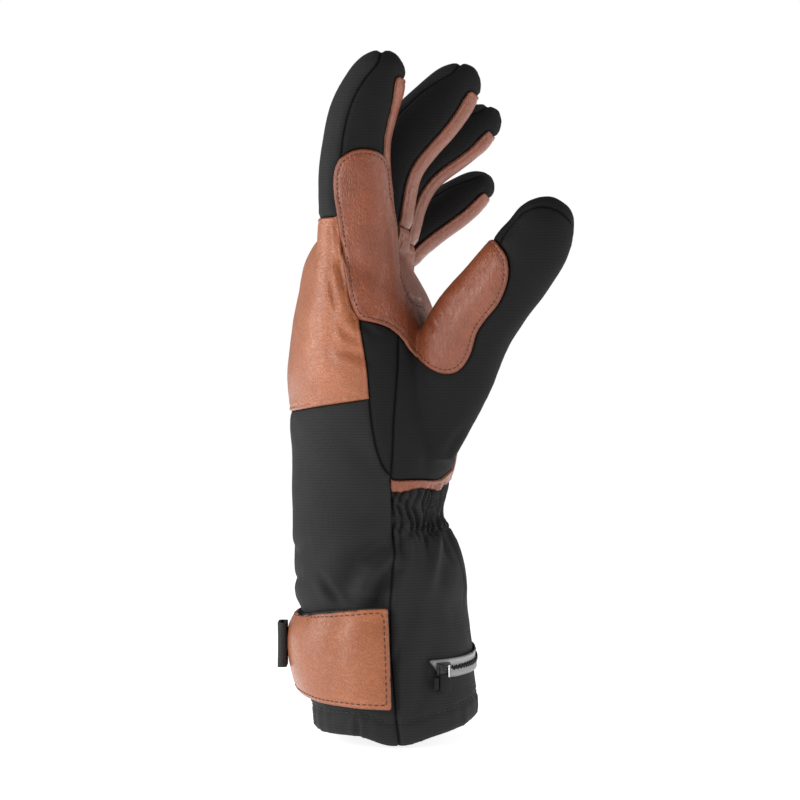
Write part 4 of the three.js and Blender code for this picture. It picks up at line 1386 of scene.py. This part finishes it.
def noise_texture(tree, place, scale, detail, rough=0.55, output="Fac"):
    node = tree.nodes.new("ShaderNodeTexNoise")
    for label, value in (
            ("Vector", place), ("Scale", scale), ("Detail", detail), ("Roughness", rough)):
        feed(tree, node.inputs[label], value)
    return node.outputs[output]


# %% Group: leather grain
grain, given, results = new_group(
    "leather_grain", {"Cells per metre": 900.0, "Stretch": (1, 1, 1)}, ["Height", "Pits"])
place = vector_node(grain, "MULTIPLY", object_place(grain), given["Stretch"])
warp = noise_texture(grain, place, 420, 2, 0.5, "Color")
bent = vector_node(grain, "MULTIPLY_ADD", warp, (0.0011, 0.0011, 0.0011), place)
cells = grain.nodes.new("ShaderNodeTexVoronoi")
cells.feature = "DISTANCE_TO_EDGE"
feed(grain, cells.inputs["Vector"], bent)
feed(grain, cells.inputs["Scale"], given["Cells per metre"])
pebble = range_node(grain, cells.outputs["Distance"], 0.0, 0.32)
wander = noise_texture(grain, place, 330, 4, 0.6)
fold = math_node(grain, "ABSOLUTE", math_node(grain, "SUBTRACT", wander, 0.5))
crest = range_node(grain, fold, 0.0, 0.07)
height = math_node(grain, "MULTIPLY_ADD", crest, 1.3, pebble)
height = math_node(grain, "MULTIPLY_ADD", wander, 1.5, height)
feed(grain, results["Height"], height)
# Pits: high in the grain's pits and along its fine creases; the leather darkens its colour with it, its
# own darker pits plus painted shade in the creases, and roughens with it
pits = math_node(grain, "SUBTRACT", 1.7, pebble)
pits = math_node(grain, "MULTIPLY_ADD", crest, -0.7, pits)
feed(grain, results["Pits"], math_node(grain, "MULTIPLY", pits, 0.6))

# %% Group: unevenness of dye and of wear
uneven, given, results = new_group("unevenness", {"Size per metre": 60.0}, ["Mask"])
clouds = noise_texture(uneven, object_place(uneven), given["Size per metre"], 4, 0.6)
feed(uneven, results["Mask"], range_node(uneven, clouds, 0.3, 0.7))

# %% Group: distance to the nearest seam
# the mask of this group paints shade along the seams of leather and cloth
seam_edge, given, results = new_group("seam_edge", {"Width in mm": 1.0}, ["Mask"])
reach = seam_edge.nodes.new("ShaderNodeAttribute")
reach.attribute_name = "seam"
share = math_node(seam_edge, "DIVIDE", reach.outputs["Fac"], given["Width in mm"])
feed(seam_edge, results["Mask"], math_node(seam_edge, "SUBTRACT", 1.0, share, clamp=True))

# %% Group: ribs and weave of a cloth
weave, given, results = new_group(
    "cloth_weave", {"Ribs per metre": 1100.0, "Cross threads": 0.35}, ["Height", "Threads"])
place = object_place(weave)
parts = weave.nodes.new("ShaderNodeSeparateXYZ")
feed(weave, parts.inputs[0], place)
rows = math_node(weave, "MULTIPLY", parts.outputs["Z"], given["Ribs per metre"])
rows = math_node(weave, "MULTIPLY_ADD", noise_texture(weave, place, 90, 2), 0.8, rows)
ribs = math_node(weave, "SINE", math_node(weave, "MULTIPLY", rows, 2 * math.pi))
across = math_node(weave, "ADD", parts.outputs["X"], parts.outputs["Y"])
columns = math_node(weave, "SINE", math_node(weave, "MULTIPLY", across, 7200.0))
surface = math_node(weave, "MULTIPLY_ADD", columns, given["Cross threads"], ribs)
surface = math_node(weave, "MULTIPLY_ADD", noise_texture(weave, place, 2600, 2), 1.2, surface)
feed(weave, results["Height"], surface)
# Threads: high on the crowns of the threads; the cloth paints light and shade of the weave into its
# colour with it
feed(weave, results["Threads"], range_node(weave, surface, -1.0, 1.8))


# %% Starting a material
MATERIALS = {}                # by plain name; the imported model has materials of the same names


def new_material(name, roughness, **sockets):
    """A material with a Principled BSDF; plain values go on the shader's own sockets."""
    MATERIALS[name] = bpy.data.materials.new(name)
    MATERIALS[name].use_nodes = True
    tree = MATERIALS[name].node_tree
    shader = tree.nodes["Principled BSDF"].inputs
    shader["Roughness"].default_value = roughness
    for label, value in sockets.items():
        feed(tree, shader[label.replace("_", " ")], value)
    return tree, shader


def use_group(tree, group, **values):
    """A node of a group, with plain values on its sockets; returns its outputs."""
    node = tree.nodes.new("ShaderNodeGroup")
    node.node_tree = group
    for label, value in values.items():
        node.inputs[label.replace("_", " ")].default_value = value
    return node.outputs


def add_bump(tree, shader, height, depth_mm, strength):
    bump = tree.nodes.new("ShaderNodeBump")
    bump.inputs["Distance"].default_value = depth_mm * MM
    bump.inputs["Strength"].default_value = strength
    feed(tree, bump.inputs["Height"], height)
    feed(tree, shader["Normal"], bump.outputs["Normal"])


# %% Leather
def leather(name, light, dark, deep, stretch, coat):
    """Grained leather between a light and a dark tone; its grain's pits are darker, and painted shade
    darkens its fine creases and its seams.
    """
    tree, shader = new_material(
        name, 0.5, Specular_IOR_Level=0.5, Coat_Weight=coat, Coat_Roughness=0.30)
    skin_grain = use_group(tree, grain, Cells_per_metre=1000.0, Stretch=stretch)
    clouds = use_group(tree, uneven, Size_per_metre=38.0)["Mask"]
    speckle = use_group(tree, uneven, Size_per_metre=420.0)["Mask"]
    edge = use_group(tree, seam_edge, Width_in_mm=0.9)["Mask"]
    color = tint(tree, mix_color(tree, clouds, light, dark), speckle, 0.16, dark)
    # painted shade in the fine creases, with the grain's own darker pits: both are tinted towards the
    # deep tone
    color = tint(tree, color, skin_grain["Pits"], 0.34, deep)
    # painted shade along the seams: within 0.9 mm of its border the leather turns towards the deep tone
    feed(tree, shader["Base Color"], tint(tree, color, edge, 0.55, deep))
    gloss = math_node(tree, "MULTIPLY_ADD", clouds, 0.08, 0.27)
    gloss = math_node(tree, "MULTIPLY_ADD", skin_grain["Pits"], 0.14, gloss)
    feed(tree, shader["Roughness"], gloss)
    add_bump(tree, shader, skin_grain["Height"], 0.10, 0.85)


leather("tan_leather", (0.48, 0.146, 0.048), (0.39, 0.110, 0.034), (0.14, 0.034, 0.010),
        (1, 1, 1.5), 0.4)
# painted shade: brown_leather is the same leather as tan_leather, made darker as it looks where less
# light falls; the saddle patch and the palm pieces wear it
leather("brown_leather", (0.31, 0.078, 0.029), (0.22, 0.052, 0.018), (0.10, 0.022, 0.008),
        (1, 1, 0.45), 0.22)


# %% Cloth
def cloth(name, light, dark, ribs, cross, depth, roughness):
    """Ribbed cloth; painted light and shade make the crowns of its threads a little lighter than the
    gaps, and a painted shadow darkens it along its seams.
    """
    tree, shader = new_material(name, roughness, Specular_IOR_Level=0.12)
    threads = use_group(tree, weave, Ribs_per_metre=ribs, Cross_threads=cross)
    clouds = use_group(tree, uneven, Size_per_metre=70.0)["Mask"]
    edge = use_group(tree, seam_edge, Width_in_mm=1.0)["Mask"]
    # painted light and shade on the weave: the thread crowns take the light tone and the gaps the dark
    # tone
    color = tint(tree, mix_color(tree, threads["Threads"], dark, light), clouds, 0.25, light)
    shadow = tuple(0.2 * channel for channel in dark)
    feed(tree, shader["Base Color"], tint(tree, color, edge, 0.85, shadow))
    add_bump(tree, shader, threads["Height"], depth, 0.6)


# name, light tone of the thread crowns and dark tone of the gaps (painted light and shade on the weave),
# ribs per metre, cross threads, depth in mm, roughness
CLOTHS = [
    ("softshell", (0.025, 0.025, 0.025), (0.018, 0.018, 0.018), 820.0, 0.35, 0.022, 0.70),
    ("side_fabric", (0.013, 0.013, 0.013), (0.009, 0.009, 0.009), 820.0, 0.8, 0.02, 0.74),
    ("lining", (0.050, 0.050, 0.053), (0.025, 0.025, 0.027), 500.0, 1.0, 0.25, 0.95),
    ("felt", (0.105, 0.100, 0.098), (0.055, 0.052, 0.050), 900.0, 1.0, 0.15, 0.95),
    ("webbing", (0.190, 0.190, 0.194), (0.115, 0.115, 0.118), 900.0, 0.9, 0.10, 0.70),
    ("coated_tape", (0.40, 0.402, 0.408), (0.30, 0.302, 0.308), 1800.0, 0.5, 0.02, 0.38),
    ("puller_cloth", (0.060, 0.061, 0.063), (0.040, 0.041, 0.043), 2600.0, 0.9, 0.02, 0.6),
    ("coil", (0.10, 0.10, 0.102), (0.06, 0.06, 0.062), 1800.0, 0.5, 0.02, 0.35),
]
for row in CLOTHS:
    cloth(*row)


# %% Cut edges, thread and metal
def mottled(name, roughness, size, first, second, **sockets):
    """A material whose colour wanders between two tones; returns its nodes and the mask."""
    tree, shader = new_material(name, roughness, **sockets)
    clouds = use_group(tree, uneven, Size_per_metre=size)["Mask"]
    feed(tree, shader["Base Color"], mix_color(tree, clouds, first, second))
    return tree, shader, clouds


mottled("raw_edge", 0.85, 700.0, (0.42, 0.17, 0.09), (0.22, 0.08, 0.04))
mottled("brown_thread", 0.6, 900.0, (0.105, 0.035, 0.018), (0.060, 0.020, 0.010))
mottled("black_thread", 0.6, 900.0, (0.020, 0.020, 0.021), (0.011, 0.011, 0.012))
enamel, enamel_shader, scuffs = mottled(
    "black_enamel", 0.3, 500.0, (0.022, 0.022, 0.023), (0.045, 0.045, 0.047), Metallic=0.7)
feed(enamel, enamel_shader["Roughness"], math_node(enamel, "MULTIPLY_ADD", scuffs, 0.2, 0.25))
new_material("worn_steel", 0.25, Metallic=1.0, Base_Color=(0.62, 0.62, 0.63))

# %% Give each piece its materials: outside, inside, cut edge
FINISHES = {
    "saddle_patch": "brown_leather", "thumb_back": "side_fabric", "palm_leather": "brown_leather",
    "knuckle_panel": "tan_leather", "wrist_strap": "tan_leather", "strap_backing": "felt",
    "pull_loop": "webbing", "zip_puller": "puller_cloth", "zip_tape": "coated_tape",
    "zip_coil": "coil", "zip_slider": "black_enamel", "side_wedge": "side_fabric",
    "thumb_front": "side_fabric", "index_side": "side_fabric", "back_panel": "softshell",
    "cuff_palm": "softshell",
}
for name, piece in pieces.items():
    finish = FINISHES.get(name) or (
        "side_fabric" if name.startswith("fork") else
        "softshell" if name.endswith("_back") else "brown_leather")
    FINISHES[name] = finish
    inside = finish if name in ("wrist_strap", "strap_backing", "pull_loop") else "lining"
    inside = "worn_steel" if name == "zip_slider" else inside
    rim = "raw_edge" if finish.endswith("leather") else finish
    for label in (finish, inside, rim):
        piece.data.materials.append(MATERIALS[label])
for color, piece in stitching.items():
    piece.data.materials.append(MATERIALS[color + "_thread"])

# %% [markdown]
# Light: white all around, as in a photographer's light tent, and one large soft box to the left
# that makes the back of the hand bright and leaves the thumb side darker.

# %% Floor
FLOOR_HALF_WIDTH = 6.0
FLOOR_DROP = 0.0012
floor_bm = bmesh.new()
bmesh.ops.create_grid(floor_bm, x_segments=1, y_segments=1, size=FLOOR_HALF_WIDTH)
bmesh.ops.translate(floor_bm, verts=floor_bm.verts, vec=(0, 0, -FLOOR_DROP))
floor = new_object("floor", floor_bm)
new_material("white_paper", 0.9, Base_Color=(0.9, 0.9, 0.9), Emission_Color=(1, 1, 1),
             Emission_Strength=0.83)
floor.data.materials.append(MATERIALS["white_paper"])

# %% Light
world = bpy.data.worlds.new("light_tent")
world.use_nodes = True
tent = world.node_tree
tent_light = tent.nodes["Background"]
tent_light.inputs["Strength"].default_value = 0.24
seen_white = tent.nodes.new("ShaderNodeBackground")
for background in (tent_light, seen_white):
    background.inputs["Color"].default_value = (1, 1, 1, 1)
path = tent.nodes.new("ShaderNodeLightPath")
choice = tent.nodes.new("ShaderNodeMixShader")
entries = (path.outputs["Is Camera Ray"], tent_light.outputs[0], seen_white.outputs[0])
for slot, entry in enumerate(entries):
    tent.links.new(entry, choice.inputs[slot])
tent.links.new(choice.outputs[0], tent.nodes["World Output"].inputs["Surface"])
bpy.context.scene.world = world
bpy.context.scene.view_settings.view_transform = "Standard"


LIGHT_TARGET = Vector((0, 0, 0.15))


def soft_box(name, place, size, power):
    """A rectangular lamp that faces the glove's middle."""
    data = bpy.data.lights.new(name, "AREA")
    data.shape = "RECTANGLE"
    data.size, data.size_y = size
    data.energy = power
    lamp = bpy.data.objects.new(name, data)
    lamp.location = place
    lamp.rotation_euler = (LIGHT_TARGET - lamp.location).to_track_quat("-Z", "Y").to_euler()
    bpy.context.collection.objects.link(lamp)


soft_box("left_box", (-1.08, -1.08, 0.3), (0.14, 1.2), 10)
soft_box("left_wall", (-1.4, 0.05, 0.3), (0.9, 1.4), 15)
soft_box("right_box", (1.15, -0.85, 0.4), (0.10, 1.2), 3)
soft_box("right_wall", (1.4, 0.1, 0.35), (0.7, 1.4), 7)

# %% Hand the pieces over
# materials whose slot in the record has another name than they have
OTHER_SLOTS = {
    "puller_cloth": "webbing", "coated_tape": "zip_tape", "coil": "zip_tape",
    "black_enamel": "zip_metal",
}
for color, piece in stitching.items():
    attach(piece, "root")
for name, piece in pieces.items():
    slot = OTHER_SLOTS.get(FINISHES[name], FINISHES[name])
    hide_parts(name)
    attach(piece, "root")
